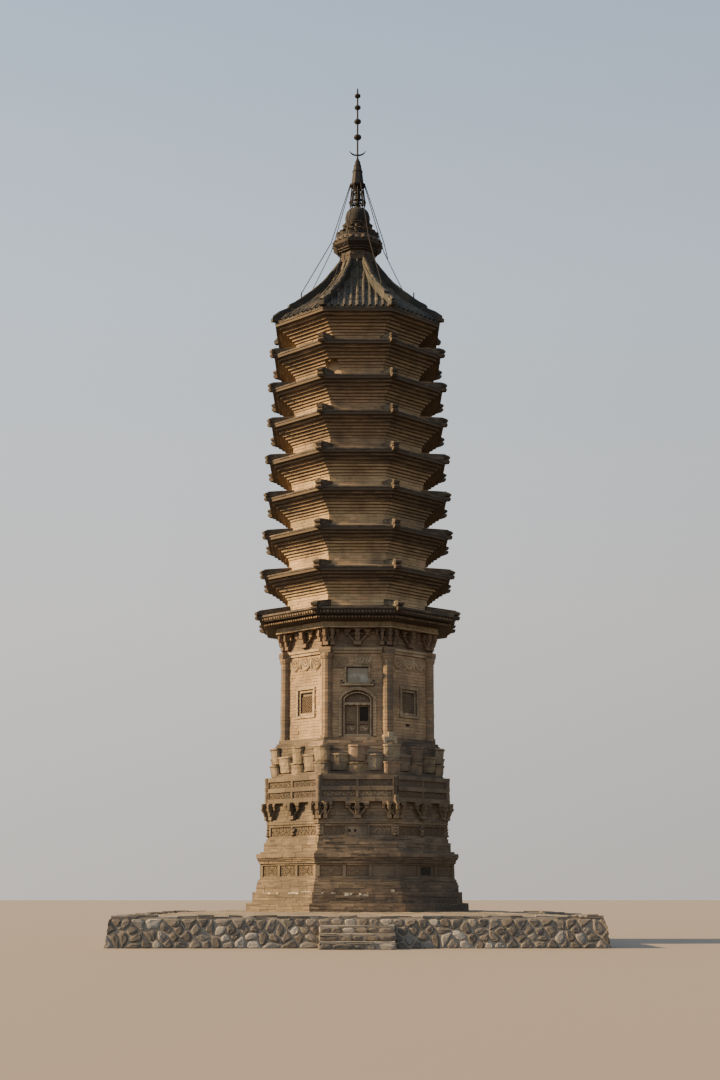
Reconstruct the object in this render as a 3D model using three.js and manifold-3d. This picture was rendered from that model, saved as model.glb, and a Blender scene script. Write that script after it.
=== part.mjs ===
// An octagonal brick pagoda with nine close eaves, on a carved base and a square rubble terrace.
// Millimetres, +Z up. The origin is on the tower's axis at ground level, and the front faces -Y.
import * as THREE from "three";
import { ConvexGeometry } from "three/addons/geometries/ConvexGeometry.js";
import { mergeVertices } from "three/addons/utils/BufferGeometryUtils.js";
import Module from "manifold-3d";

const wasm = await Module();
wasm.setup();

// Plan of the tower: every storey is a regular octagon, given by its corner radius.
const SIDES = 8;
const TURN = (2 * Math.PI) / SIDES;
const HALF_TURN = TURN / 2;
const FLAT = Math.cos(HALF_TURN); // distance to a facet for a corner radius of 1
const GAP = 0.3; // clearance between a piece and the recess cut for it
const PANEL_DEPTH = 25; // how far every carved panel is sunk

// Terrace: a square of rubble walling round a fill, with a flight of stone steps in front.
const TERRACE_HEIGHT = 720; // under the tower
const COPING_HEIGHT = 650; // top of the rubble wall
const FILL_FLAT = 3300; // half the width of the level part of the fill
const TERRACE_HALF_FOOT = 5470;
const TERRACE_HALF_TOP = 5350;
const TERRACE_WALL = 500; // thickness at the top
const STEP_WIDTH = 1600;
const STEP_TREAD = 300;
const STEP_NAMES = ["step_lower", "step_middle", "step_upper"];

// Heights of the base, first storey and first eave, above the terrace.
const LEVEL = {
  foot: 0,
  panelLow: 800,
  corniceLow: 1150,
  waist: 1440,
  panelHigh: 1750,
  brackets: 2080,
  rail: 2600,
  lotus: 3230,
  wallFoot: 4020,
  storey: 4165,
  architrave: 6240,
  storeyBrackets: 6380,
  beam: 6845,
  rafters: 7235,
};

// First storey.
const WALL = 1945; // corner radius of the wall
const COLUMN = 130;
const DOOR = { half: 462, sill: 4200, spring: 5130, crown: 5400 };
const WINDOW = { half: 330, low: 4690, high: 5450 };
const TABLET = { half: 320, low: 5440, high: 5950 };
const ARC_STEPS = 6; // straight pieces in each arch

// Lotus band
const LOTUS = {
  core: 2215, // corner radius of the wall behind the petals
  lip: 2325, // corner radius of the petals' lips
  columns: 4, // to a facet, counting the corners as one
  width: 412,
  lean: 50, // how far a petal's lip stands out past its foot
  tall: [[3245, 3566], [3570, 3980]], // foot and lip of the petals on the corners and facet centres
  short: [3348, 3755], // and of the petals between those
};

// Corner tips of the nine eaves: radius, and height above the terrace.
const EAVES = [
  [2793, 7379],
  [2667, 8446],
  [2617, 9483],
  [2587, 10491],
  [2570, 11483],
  [2524, 12478],
  [2512, 13431],
  [2474, 14372],
  [2449, 15250],
];
const SLAB_DROP = 110; // the slab's top edge lies this far below the corner tip
const SLAB = 115; // thickness of the slab's edge
const SLAB_INSET = 120; // the corner tips reach this far past the slab
const NOTCH = { top: 72, foot: 98 }; // below the tip: the gap between a ridge's nose and the beam head
const BEAM_HEAD = 190; // underside of the corner beam's head, below the tip
const ROOF_RISE = 60; // the little roof meets the next wall this far above the corner tip
const COURSE = 68; // one corbelled course
const CORBELS = 7;
const CORBEL_CURVE = 1.5; // each course steps out further than the one below it
const UPPER_WALL = { low: 1915, high: 1715 }; // corner radius of the walls of the second and ninth tiers
const BROKEN = { tier: 8, corner: 7, height: 420, depth: 130 }; // where a wall's corner has fallen out
const RIDGE_WIDTH = 150;
const RIDGE_RISE = 165; // from the tip to the ridge's inner end
const FIRST_RIDGE_RISE = 230;
const RAFTER_ENDS = { r: 2640, z: 7135 }; // lower edge of the upper row on the first eave

// Spire, heights above the terrace.
const ROOF_TOP = 17100;
const PEDESTAL_TOP = 17830;
const LOTUS_TOP = 18240;
const DOME_TOP = 18750;
const CAGE_TOP = 19420;
const MAST_TOP = 22352;
const MAST = 20; // radius of the iron rod
const BEADS = [[112, 20860], [103, 21330], [94, 21750], [90, 22100]];
const CRESCENT = { half: 226, low: 20300, high: 20450, thickness: 16 };
const STAY = 12; // radius of a stay
const COLLAR = { r: 225, bore: 189, height: 30 }; // the ring that the stays hang from
const HOOK = { r: 1620, foot: 15850, top: 16090, width: 26 };
const RIM = { r: 775, z: 17620 }; // where a stay passes the pedestal's rim
const BROKEN_STAY = 1; // the corner, counted to the right from the front, whose stay has parted

const MATERIALS = {
  rubble: material("#83796a", 0.95),
  stepStone: material("#8d8577", 0.9),
  fill: material("#7d7160", 0.98),
  brick: material("#9c8057", 0.93),
  carved: material("#8f7854", 0.93),
  lotus: material("#99835f", 0.93),
  column: material("#a58765", 0.9),
  tablet: material("#8c8c86", 0.85),
  tile: material("#4b443b", 0.9),
  glaze: material("#3f4738", 0.75),
  iron: material("#3b332c", 0.7, 0.6),
};

function material(color, roughness, metalness = 0) {
  return new THREE.MeshStandardMaterial({ color, roughness, metalness, flatShading: true });
}

// Corner radius of a tier's plain wall. The upper ones taper evenly.
function wallRadius(number) {
  const { low, high } = UPPER_WALL;
  return low + ((high - low) * (number - 2)) / (EAVES.length - 2);
}

// A closed geometry as a solid that can be joined and cut.
function solid(geometry) {
  const bare = geometry.clone();
  bare.deleteAttribute("normal");
  bare.deleteAttribute("uv");
  const merged = mergeVertices(bare, 1e-3);
  return new wasm.Manifold(
    new wasm.Mesh({
      numProp: 3,
      vertProperties: merged.attributes.position.array,
      triVerts: merged.index.array,
    }),
  );
}

function join(pieces) {
  return pieces.reduce((whole, piece) => whole.add(piece));
}

function cut(whole, holes) {
  return holes.reduce((left, hole) => left.subtract(hole), whole);
}

// An octagonal body from its profile of [corner radius, height] points, bottom first.
function octagonal(profile, sides = SIDES) {
  const points = [[0, profile[0][1]], ...profile, [0, profile.at(-1)[1]]];
  const lathe = new THREE.LatheGeometry(
    points.map(([r, z]) => new THREE.Vector2(r, z)),
    sides,
    sides === SIDES ? HALF_TURN : 0,
  );
  return solid(lathe.rotateX(Math.PI / 2));
}

// A square body from its profile of [half width, height] points, bottom first.
function squareBody(profile) {
  const points = [[0, profile[0][1]], ...profile, [0, profile.at(-1)[1]]];
  const lathe = new THREE.LatheGeometry(
    points.map(([half, z]) => new THREE.Vector2(half * Math.SQRT2, z)),
    4,
    Math.PI / 4,
  );
  return solid(lathe.rotateX(Math.PI / 2));
}

// A box centred in x and y on the given place and standing on z.
function box(width, depth, height, x, y, z) {
  return solid(new THREE.BoxGeometry(width, depth, height).translate(x, y, z + height / 2));
}

function polygon(points) {
  return new THREE.Shape(points.map(([across, up]) => new THREE.Vector2(across, up)));
}

function rectangle(half, low, high) {
  return polygon([[-half, low], [half, low], [half, high], [-half, high]]);
}

// A shape in x and z, as deep in y as from front (nearest the viewer) to back.
function slab(shape, front, back) {
  const geometry = new THREE.ExtrudeGeometry(shape, {
    depth: back - front,
    bevelEnabled: false,
    curveSegments: ARC_STEPS,
  });
  return solid(geometry.rotateX(Math.PI / 2).translate(0, back, 0));
}

// A shape in y and z, of the given width in x about the axis.
function rib(shape, width) {
  const geometry = new THREE.ExtrudeGeometry(shape, { depth: width, bevelEnabled: false });
  return solid(geometry.translate(0, 0, -width / 2).rotateY(Math.PI / 2).rotateX(Math.PI / 2));
}

// The tightest convex body round some [x, y, z] points.
function convex(points) {
  return solid(new ConvexGeometry(points.map((point) => new THREE.Vector3(...point))));
}

function turned(piece, angle) {
  return piece.rotate([0, 0, (angle * 180) / Math.PI]);
}

function onFacets(piece) {
  return Array.from({ length: SIDES }, (_, i) => turned(piece, i * TURN));
}

function onCorners(piece) {
  return onFacets(turned(piece, HALF_TURN));
}

const pagoda = new THREE.Group();
pagoda.name = "pagoda";
const tower = new THREE.Group();
tower.position.z = TERRACE_HEIGHT;
pagoda.add(tower);

function place(parent, name, body, look, angle = 0) {
  const shape = body.getMesh();
  const geometry = new THREE.BufferGeometry();
  geometry.setAttribute("position", new THREE.BufferAttribute(shape.vertProperties, 3));
  geometry.setIndex(new THREE.BufferAttribute(shape.triVerts, 1));
  geometry.computeVertexNormals();
  const mesh = new THREE.Mesh(geometry, look);
  mesh.name = name;
  mesh.rotation.z = angle;
  parent.add(mesh);
}

// Terrace
function makeTerrace() {
  const inner = TERRACE_HALF_TOP - TERRACE_WALL;
  const wall = squareBody([[TERRACE_HALF_FOOT, 0], [TERRACE_HALF_TOP, COPING_HEIGHT]]);
  const core = box(2 * inner, 2 * inner, 3 * COPING_HEIGHT, 0, 0, -COPING_HEIGHT);
  const fill = squareBody([[inner, 0], [inner, COPING_HEIGHT], [FILL_FLAT, TERRACE_HEIGHT]]);
  place(pagoda, "terrace_wall", wall.subtract(core), MATERIALS.rubble);
  place(pagoda, "terrace_fill", fill, MATERIALS.fill);

  // Each step is a long block that runs back to the battered face of the wall.
  const riser = COPING_HEIGHT / (STEP_NAMES.length + 1);
  const batter = (TERRACE_HALF_FOOT - TERRACE_HALF_TOP) / COPING_HEIGHT;
  const wallAt = (z) => -TERRACE_HALF_FOOT + batter * z - GAP;
  STEP_NAMES.forEach((name, i) => {
    const front = -TERRACE_HALF_FOOT - STEP_TREAD * (STEP_NAMES.length - i);
    const low = i * riser;
    const high = low + riser;
    const outline = [[front, low], [wallAt(low), low], [wallAt(high), high], [front, high]];
    place(pagoda, name, rib(polygon(outline), STEP_WIDTH), MATERIALS.stepStone);
  });
}

// A band of an octagonal wall with sunk panels. The columns of panels may be fewer on the slanting facets.
// Posts stand at the corners and narrower stiles between the columns.
function panelBand(radius, low, high, { columns, slantColumns = columns, rows = 1, post, stile, rail }) {
  const face = radius * FLAT;
  const run = 2 * radius * Math.sin(HALF_TURN) - 2 * post;
  const height = (high - low - (rows + 1) * rail) / rows;
  const whole = octagonal([[radius, low], [radius, high]]);
  const holes = Array.from({ length: SIDES }, (_, facet) => {
    const count = facet % 2 === 0 ? columns : slantColumns;
    const width = (run - (count - 1) * stile) / count;
    const sunk = [];
    for (let column = 0; column < count; column++) {
      for (let row = 0; row < rows; row++) {
        const x = -run / 2 + width / 2 + column * (width + stile);
        const z = low + rail + row * (height + rail);
        sunk.push(box(width, 2 * PANEL_DEPTH, height, x, -face, z));
      }
    }
    return turned(join(sunk), facet * TURN);
  });
  return cut(whole, holes);
}

// One bracket set: arms that spread from a bearing block, an end block on each, and a leaning nose.
function bracketSet(face, low, height, reach, spread) {
  const armTop = low + height * 0.66;
  const arms = polygon([[-75, low + 30], [75, low + 30], [spread, armTop], [-spread, armTop]]);
  const nose = polygon([
    [-face + 20, low + 30], [-face - 50, low + 30], [-face - reach, armTop], [-face - reach, low + height],
    [-face + 20, low + height],
  ]);
  const ends = [-1, 1].map((side) => {
    const x = side * (spread - 50);
    return slab(rectangle(50, armTop, low + height), -face - reach * 0.6, -face + 20).translate([x, 0, 0]);
  });
  return join([slab(arms, -face - reach * 0.4, -face + 20), rib(nose, 90), ...ends]);
}

// A ring of wall with a bracket set on each corner and one between them.
function bracketTier(radius, low, high, reach) {
  const height = high - low;
  const middle = bracketSet(radius * FLAT, low, height, reach, 230);
  const corner = bracketSet(radius - 30, low, height, reach + 20, 190);
  return join([octagonal([[radius, low], [radius, high]]), ...onFacets(middle), ...onCorners(corner)]);
}

// Upright lotus petals, set like a chequerboard round a core: pairs of them, one above the other, on the
// corners and the facet centres, and single ones between.
function lotusBand(low, high) {
  const face = LOTUS.lip * FLAT;
  const pitch = (2 * LOTUS.lip * Math.sin(HALF_TURN)) / LOTUS.columns;
  const petals = LOTUS.tall.flatMap(([foot, lip]) => [
    ...onFacets(petal(face, foot, lip)),
    ...onCorners(petal(LOTUS.lip - 25, foot, lip)),
  ]);
  for (const x of [-pitch, pitch]) {
    petals.push(...onFacets(petal(face, ...LOTUS.short).translate([x, 0, 0])));
  }
  const core = [[LOTUS.lip - 10, low], [LOTUS.core, low + 110], [LOTUS.core, high]];
  return join([octagonal(core), ...petals]);
}

// A petal is like a bucket cut in half: full at the foot, and leaning out a little to a wide lip.
function petal(face, foot, lip) {
  const back = -face + 300;
  const front = -face + LOTUS.lean;
  const narrow = LOTUS.width * 0.42;
  const wide = LOTUS.width / 2;
  return convex([
    [-narrow, front, foot], [narrow, front, foot], [-narrow, back, foot], [narrow, back, foot],
    [-wide, -face, lip], [wide, -face, lip], [-wide, back, lip], [wide, back, lip],
  ]);
}

function makeBase() {
  const footing = [
    [2920, LEVEL.foot], [2920, 215], [2762, 215], [2762, 480], [2670, 480], [2670, 650],
    [2644, 650], [2644, 710], [2618, 710], [2618, 770], [2590, 770], [2590, LEVEL.panelLow],
  ];
  place(tower, "footing", octagonal(footing), MATERIALS.brick);

  const lowPanels = panelBand(2565, LEVEL.panelLow, LEVEL.corniceLow, {
    columns: 3, post: 90, stile: 77, rail: 45,
  });
  place(tower, "lower_panel_band", lowPanels, MATERIALS.carved);

  const cornice = [
    [2605, LEVEL.corniceLow], [2605, 1205], [2625, 1205], [2625, 1245],
    [2651, 1245], [2651, 1286], [2677, 1286], [2677, 1390], [2576, 1390], [2576, LEVEL.waist],
  ];
  place(tower, "base_cornice", octagonal(cornice), MATERIALS.brick);

  const waist = [[2480, LEVEL.waist], [2480, 1655], [2420, 1655], [2420, LEVEL.panelHigh]];
  place(tower, "waist", octagonal(waist), MATERIALS.brick);

  const highPanels = panelBand(2390, LEVEL.panelHigh, LEVEL.brackets, {
    columns: 3, slantColumns: 2, post: 110, stile: 55, rail: 55,
  });
  place(tower, "upper_panel_band", highPanels, MATERIALS.carved);

  const ledge = octagonal([[2415, LEVEL.brackets], [2415, 2195]]);
  place(tower, "base_brackets", bracketTier(2340, 2195, LEVEL.rail, 190).add(ledge), MATERIALS.carved);

  const rails = panelBand(2445, LEVEL.rail, LEVEL.lotus, {
    columns: 2, rows: 2, post: 90, stile: 60, rail: 108,
  });
  place(tower, "balustrade", rails, MATERIALS.carved);

  place(tower, "lotus_band", lotusBand(LEVEL.lotus, LEVEL.wallFoot), MATERIALS.lotus);

  const foot = [[2180, LEVEL.wallFoot], [2180, 4080], [2110, 4080], [2110, LEVEL.storey]];
  place(tower, "wall_foot", octagonal(foot), MATERIALS.brick);
}

// First storey: a wall with engaged corner columns, false doors and tablets on four facets and
// false windows on the other four.
function columnShaft(clearance) {
  const low = LEVEL.storey - (clearance ? 50 : 0);
  const high = LEVEL.architrave + (clearance ? 50 : 0);
  const r = COLUMN + clearance;
  const cap = r + 22;
  const neck = LEVEL.architrave - 130 - clearance;
  return octagonal([[r, low], [r, neck], [cap, neck + 30], [cap, high]], 12).translate([0, -WALL, 0]);
}

// An upright outline with a segmental head, drawn in from the given one by the inset.
function archOutline({ half, sill, spring, crown }, inset) {
  const width = half - inset;
  const rise = crown - spring - inset * 0.6;
  const radius = (width * width + rise * rise) / (2 * rise);
  const centre = spring + rise - radius;
  const reach = Math.asin(width / radius);
  const shape = new THREE.Shape();
  shape.moveTo(-width, sill);
  shape.lineTo(width, sill);
  shape.absarc(0, centre, radius, Math.PI / 2 - reach, Math.PI / 2 + reach, false);
  return shape;
}

// A false door in an arched surround: two stepped arches, a frame, and two leaves with sunk fields.
function falseDoor(face) {
  const back = -face + 150;
  const leafHalf = 155;
  const leafTop = 4960;
  const surround = slab(archOutline(DOOR, 0), -face - 45, back);
  const inner = slab(archOutline(DOOR, 75), -face - 200, -face);
  const tympanum = slab(archOutline(DOOR, 150), -face - 200, -face + 60);
  const opening = slab(rectangle(leafHalf * 2 + 12, DOOR.sill + 50, leafTop), -face - 200, -face + 90);
  const leaves = [-1, 1].map((side) => {
    const x = side * (leafHalf + 4);
    const leaf = slab(rectangle(leafHalf, DOOR.sill + 50, leafTop), -face + 60, back);
    const panel = box(210, 60, 190, 0, -face + 60, DOOR.sill + 110);
    const lattice = box(210, 60, 350, 0, -face + 60, DOOR.sill + 370);
    return cut(leaf, [panel, lattice]).translate([x, 0, 0]);
  });
  return join([cut(surround, [inner, tympanum, opening]), ...leaves]);
}

// A false window: two stepped frames round a sunk lattice field.
function falseWindow(face) {
  const { half, low, high } = WINDOW;
  const frame = slab(rectangle(half, low, high), -face - 25, -face + 120);
  const outer = slab(rectangle(half - 60, low + 60, high - 60), -face - 200, -face + 15);
  const inner = slab(rectangle(half - 120, low + 130, high - 130), -face - 200, -face + 60);
  return cut(frame, [outer, inner]);
}

// A blank stone tablet in a frame, on a sill with a small cloud block at each end.
function stoneTablet(face) {
  const { half, low, high } = TABLET;
  const frame = slab(rectangle(half, low, high), -face - 30, -face + 90);
  const field = slab(rectangle(half - 50, low + 60, high - 50), -face - 200, -face + 10);
  const sill = slab(rectangle(half + 90, low - 10, low + 40), -face - 60, -face + 90);
  const cloud = [-1, 1].map((side) =>
    slab(rectangle(50, low + 40, low + 130), -face - 40, -face + 90).translate([side * (half + 40), 0, 0]),
  );
  return join([cut(frame, [field]), sill, ...cloud]);
}

// The recess that takes a piece let into the wall, a little larger than the piece all round.
function socket(outline, depth, face) {
  return slab(outline, -face - 200, -face + depth + GAP);
}

function makeStorey() {
  const face = WALL * FLAT;
  const { sill, spring, crown, half } = DOOR;
  const doorway = archOutline({ half: half + GAP, sill: sill - GAP, spring, crown: crown + GAP }, 0);
  const doorSocket = socket(doorway, 150, face);
  const tabletSocket = join([
    socket(rectangle(TABLET.half + 90 + GAP, TABLET.low - 10 - GAP, TABLET.low + 130 + GAP), 90, face),
    socket(rectangle(TABLET.half + GAP, TABLET.low, TABLET.high + GAP), 90, face),
  ]);
  const windowSocket = socket(
    rectangle(WINDOW.half + GAP, WINDOW.low - GAP, WINDOW.high + GAP), 120, face,
  );
  const sockets = [0, 1, 2, 3].flatMap((i) => [
    turned(doorSocket, 2 * i * TURN),
    turned(tabletSocket, 2 * i * TURN),
    turned(windowSocket, (2 * i + 1) * TURN),
  ]);
  const plain = octagonal([[WALL, LEVEL.storey], [WALL, LEVEL.architrave]]);
  place(tower, "storey_wall", cut(plain, [...sockets, ...onCorners(columnShaft(GAP))]), MATERIALS.brick);

  const facets = ["front", "right", "back", "left"];
  const corners = ["front_right", "back_right", "back_left", "front_left"];
  facets.forEach((side, i) => {
    place(tower, "door_" + side, falseDoor(face), MATERIALS.carved, 2 * i * TURN);
    place(tower, "tablet_" + side, stoneTablet(face), MATERIALS.tablet, 2 * i * TURN);
    place(tower, "window_" + corners[i], falseWindow(face), MATERIALS.carved, (2 * i + 1) * TURN);
  });
  for (let i = 0; i < SIDES; i++) {
    place(tower, "column_" + (i + 1), columnShaft(0), MATERIALS.column, HALF_TURN + i * TURN);
  }
  // Two plain mouldings between the blocks that stand on the columns.
  const { architrave: low, storeyBrackets: high } = LEVEL;
  const mouldings = octagonal([[1985, low], [1985, low + 70], [2012, low + 70], [2012, high]]);
  const blocks = onCorners(box(290, 290, high - low, 0, -WALL, low));
  place(tower, "architrave", join([mouldings, ...blocks]), MATERIALS.carved);
}

// The ridges on the corners of an eave, from the wall out to the tip. The head of the corner beam
// sticks out below each ridge's nose.
function eaveRidges(radius, tip, rise, wall) {
  const foot = tip - BEAM_HEAD;
  const inner = -wall + 120;
  const slabCorner = -radius + SLAB_INSET;
  const line = polygon([
    [inner, foot], [-radius + 45, foot], [-radius + 15, foot + 40], [-radius + 15, tip - NOTCH.foot],
    [slabCorner, tip - NOTCH.foot], [slabCorner, tip - NOTCH.top], [-radius + 30, tip - NOTCH.top],
    [-radius, tip], [-radius + 120, tip + 50], [inner, tip + rise],
  ]);
  const above = octagonal([[wall + GAP, tip + ROOF_RISE], [wall + GAP, tip + 400]]);
  return onCorners(rib(line, RIDGE_WIDTH)).map((ridge) => ridge.subtract(above));
}

// Slab edge and low roof of an eave: the top is flat where the next wall stands on it.
function eaveRoof(radius, tip, wall) {
  return [
    [radius - SLAB_INSET, tip - SLAB_DROP - SLAB],
    [radius - SLAB_INSET, tip - SLAB_DROP],
    [wall, tip + ROOF_RISE],
  ];
}

function makeFirstEave() {
  const [radius, tip] = EAVES[0];
  place(
    tower, "eave_1_brackets",
    bracketTier(WALL, LEVEL.storeyBrackets, LEVEL.beam, 190),
    MATERIALS.carved,
  );
  const slabFoot = tip - SLAB_DROP - SLAB;
  const { r: reach, z: lift } = RAFTER_ENDS;
  const rafters = [
    [2200, LEVEL.beam], [2200, 7000], [2450, 7030], [2500, 7040], [2500, lift],
    [reach, lift], [reach, slabFoot],
  ];
  place(tower, "eave_1_rafters", octagonal(rafters), MATERIALS.tile);
  const roof = [
    [reach, slabFoot], [reach, LEVEL.rafters], [radius - SLAB_INSET, LEVEL.rafters],
    ...eaveRoof(radius, tip, wallRadius(2)).slice(1),
  ];
  const ridges = eaveRidges(radius, tip, FIRST_RIDGE_RISE, wallRadius(2));
  place(tower, "eave_1_roof", join([octagonal(roof), ...ridges]), MATERIALS.tile);
}

// An upper storey: a plain wall, seven corbelled courses, and an eave with corner ridges.
function makeTier(number) {
  const [radius, tip] = EAVES[number - 1];
  const start = EAVES[number - 2][1] + ROOF_RISE;
  const soffit = tip - SLAB_DROP - SLAB;
  const corbelFoot = soffit - CORBELS * COURSE;
  const wall = wallRadius(number);
  const room = radius - SLAB_INSET - wall;
  const profile = [[wall, start], [wall, corbelFoot]];
  for (let i = 0; i < CORBELS; i++) {
    const out = wall + room * ((i + 1) / (CORBELS + 1)) ** CORBEL_CURVE;
    const z = corbelFoot + i * COURSE;
    profile.push([out, z], [out, z + COURSE]);
  }
  const top = number === EAVES.length;
  const roof = top
    ? [[radius - SLAB_INSET, soffit], [radius - SLAB_INSET, tip - SLAB_DROP]]
    : eaveRoof(radius, tip, wallRadius(number + 1));
  const whole = octagonal([...profile, ...roof]);
  const body = number === BROKEN.tier ? whole.subtract(fallenCorner(wall, start)) : whole;
  const ridges = top ? [] : eaveRidges(radius, tip, RIDGE_RISE, wallRadius(number + 1));
  place(tower, "tier_" + number, join([body, ...ridges]), MATERIALS.brick);
}

// The bricks that have fallen from the corner of a wall, wider at the foot than at the top.
function fallenCorner(wall, low) {
  const { corner, height, depth } = BROKEN;
  const outline = (left, right, back, z) => [
    [-left, -wall - depth, z], [right, -wall - depth, z], [right * 0.7, -wall + back, z],
    [-left * 0.7, -wall + back, z],
  ];
  const foot = outline(280, 340, depth, low - 10);
  const top = outline(130, 190, depth * 0.5, low + height);
  const rough = convex([...foot, ...top]);
  return turned(rough, HALF_TURN + corner * TURN);
}

// The iron pin on a corner ridge that a stay is tied to.
function hook(width) {
  return box(width, width, HOOK.top - HOOK.foot, 0, -HOOK.r, HOOK.foot);
}

// The top roof sweeps up in a hollow curve, with a high ridge on each corner that stops in two steps.
function makeTopRoof() {
  const [radius, tip] = EAVES.at(-1);
  const edge = tip - SLAB_DROP;
  const sweep = [
    [radius - SLAB_INSET, edge], [2200, 15270], [1900, 15480], [1560, 15720], [1220, 16010], [880, 16370],
    [600, 16760], [480, ROOF_TOP],
  ];
  const ridge = [
    [-420, ROOF_TOP], [-535, 17030], [-929, 16530], [-1285, 16190], [-1643, 15890], [-1977, 15690],
    [-1990, 15600], [-2265, 15450], [-2275, 15380], [-radius, tip], [-radius + 10, tip - 90],
    [-2150, 15200], [-1560, 15620], [-880, 16270], [-420, 16900],
  ];
  const ridges = onCorners(rib(polygon(ridge), RIDGE_WIDTH));
  const hooks = onCorners(hook(HOOK.width));
  place(tower, "top_roof", join([octagonal(sweep), ...ridges, ...hooks]), MATERIALS.glaze);
}

// A ring of square section round the axis.
function hoop(radius, thickness, height, z) {
  const bore = radius - thickness;
  const outer = octagonal([[radius, z], [radius, z + height]]);
  return outer.subtract(octagonal([[bore, z - 10], [bore, z + height + 10]]));
}

// A straight bar of six sides from one point to another.
function bar(from, to, radius) {
  const start = new THREE.Vector3(...from);
  const end = new THREE.Vector3(...to);
  const rod = new THREE.CylinderGeometry(radius, radius, start.distanceTo(end), 6);
  const across = new THREE.Quaternion().setFromUnitVectors(
    new THREE.Vector3(0, 1, 0),
    end.clone().sub(start).normalize(),
  );
  rod.applyQuaternion(across);
  const middle = start.add(end).multiplyScalar(0.5);
  return solid(rod.translate(middle.x, middle.y, middle.z));
}

// A sickle moon with its horns up, across the rod.
function crescent() {
  const { half, low, high, thickness } = CRESCENT;
  const shape = new THREE.Shape();
  shape.moveTo(-half, high);
  shape.quadraticCurveTo(-half * 0.8, low, 0, low);
  shape.quadraticCurveTo(half * 0.8, low, half, high);
  shape.quadraticCurveTo(half * 0.6, low + 45, 0, low + 45);
  shape.quadraticCurveTo(-half * 0.6, low + 45, -half, high);
  return slab(shape, -thickness / 2, thickness / 2);
}

// One stay, from the collar past the pedestal's rim to its pin. A parted one hangs loose from the rim.
function stay(parted) {
  const collar = [0, -COLLAR.r + STAY, CAGE_TOP + COLLAR.height / 2];
  const rim = [0, -RIM.r, RIM.z];
  const end = parted ? [0, -RIM.r - 105, RIM.z - 470] : [0, -HOOK.r, HOOK.top - 25];
  const run = bar(collar, rim, STAY).add(bar(rim, end, STAY));
  return parted ? run : run.subtract(hook(HOOK.width + 2 * GAP));
}

// Spire: a brick pedestal, two rings of petals and a dome, then an iron cage, rod and stays.
function makeSpire() {
  const pedestal = [
    [500, ROOF_TOP], [500, 17300], [465, 17300], [465, 17400], [530, 17440], [620, 17500],
    [700, 17570], [715, 17640], [690, 17700], [604, 17740], [604, PEDESTAL_TOP],
  ];
  place(tower, "spire_pedestal", octagonal(pedestal), MATERIALS.brick);

  const lotus = [
    [553, PEDESTAL_TOP], [560, 17880], [470, 18015], [345, 18030], [345, 18060], [396, 18180],
    [396, LOTUS_TOP],
  ];
  place(tower, "spire_lotus", octagonal(lotus, 16), MATERIALS.lotus);

  const dome = [[314, LOTUS_TOP], [334, 18420], [330, 18510], [300, 18610], [235, 18695], [120, DOME_TOP]];
  place(tower, "spire_dome", octagonal(dome, 16), MATERIALS.lotus);

  const post = octagonal([[70, DOME_TOP], [70, CAGE_TOP]]);
  const hoops = [hoop(230, 34, 50, 18900), hoop(165, 30, 45, 19215)];
  const strap = bar([0, -212, 18850], [0, -150, CAGE_TOP], 16);
  const spoke = bar([0, 0, 18925], [0, -215, 18925], 12);
  const quarters = [0, 2, 4, 6].flatMap((i) => [turned(strap, i * TURN), turned(spoke, i * TURN)]);
  const cap = octagonal([[198, CAGE_TOP - 40], [198, CAGE_TOP]]);
  place(tower, "spire_cage", cut(join([post, ...hoops, ...quarters, cap]), [aboveCage()]), MATERIALS.iron);

  const cone = [
    [185, CAGE_TOP], [137, 19842], [83, 20090], [33, 20225], [MAST, 20225], [MAST, MAST_TOP - 60],
    [4, MAST_TOP],
  ];
  const beads = BEADS.map(([r, z]) =>
    octagonal([[0.6 * r, z - 0.6 * r], [r, z - 0.2 * r], [r, z + 0.2 * r], [0.6 * r, z + 0.6 * r]]),
  );
  place(tower, "spire_mast", join([octagonal(cone), ...beads, crescent()]), MATERIALS.iron);

  const ring = octagonal([[COLLAR.r, CAGE_TOP], [COLLAR.r, CAGE_TOP + COLLAR.height]]);
  const bore = octagonal([[COLLAR.bore, CAGE_TOP - 10], [COLLAR.bore, CAGE_TOP + COLLAR.height + 10]]);
  const stays = Array.from({ length: SIDES }, (_, i) =>
    turned(stay(i === BROKEN_STAY), HALF_TURN + i * TURN),
  );
  place(tower, "spire_stays", join([ring.subtract(bore), ...stays]), MATERIALS.iron);
}

// The space above the cage's flat top.
function aboveCage() {
  return box(1000, 1000, 500, 0, 0, CAGE_TOP);
}

makeTerrace();
makeBase();
makeStorey();
makeFirstEave();
for (let number = 2; number <= EAVES.length; number++) {
  makeTier(number);
}
makeTopRoof();
makeSpire();

export default pagoda;
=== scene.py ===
# An octagonal brick pagoda with nine close eaves, dressed from the ground up: rubble terrace, carved
# base, one storey with false doors and windows, eight corbelled tiers, tiled roof and iron spire.
import math

import bmesh
import bpy
import numpy as np
from mathutils import Matrix, Vector, noise


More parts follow.
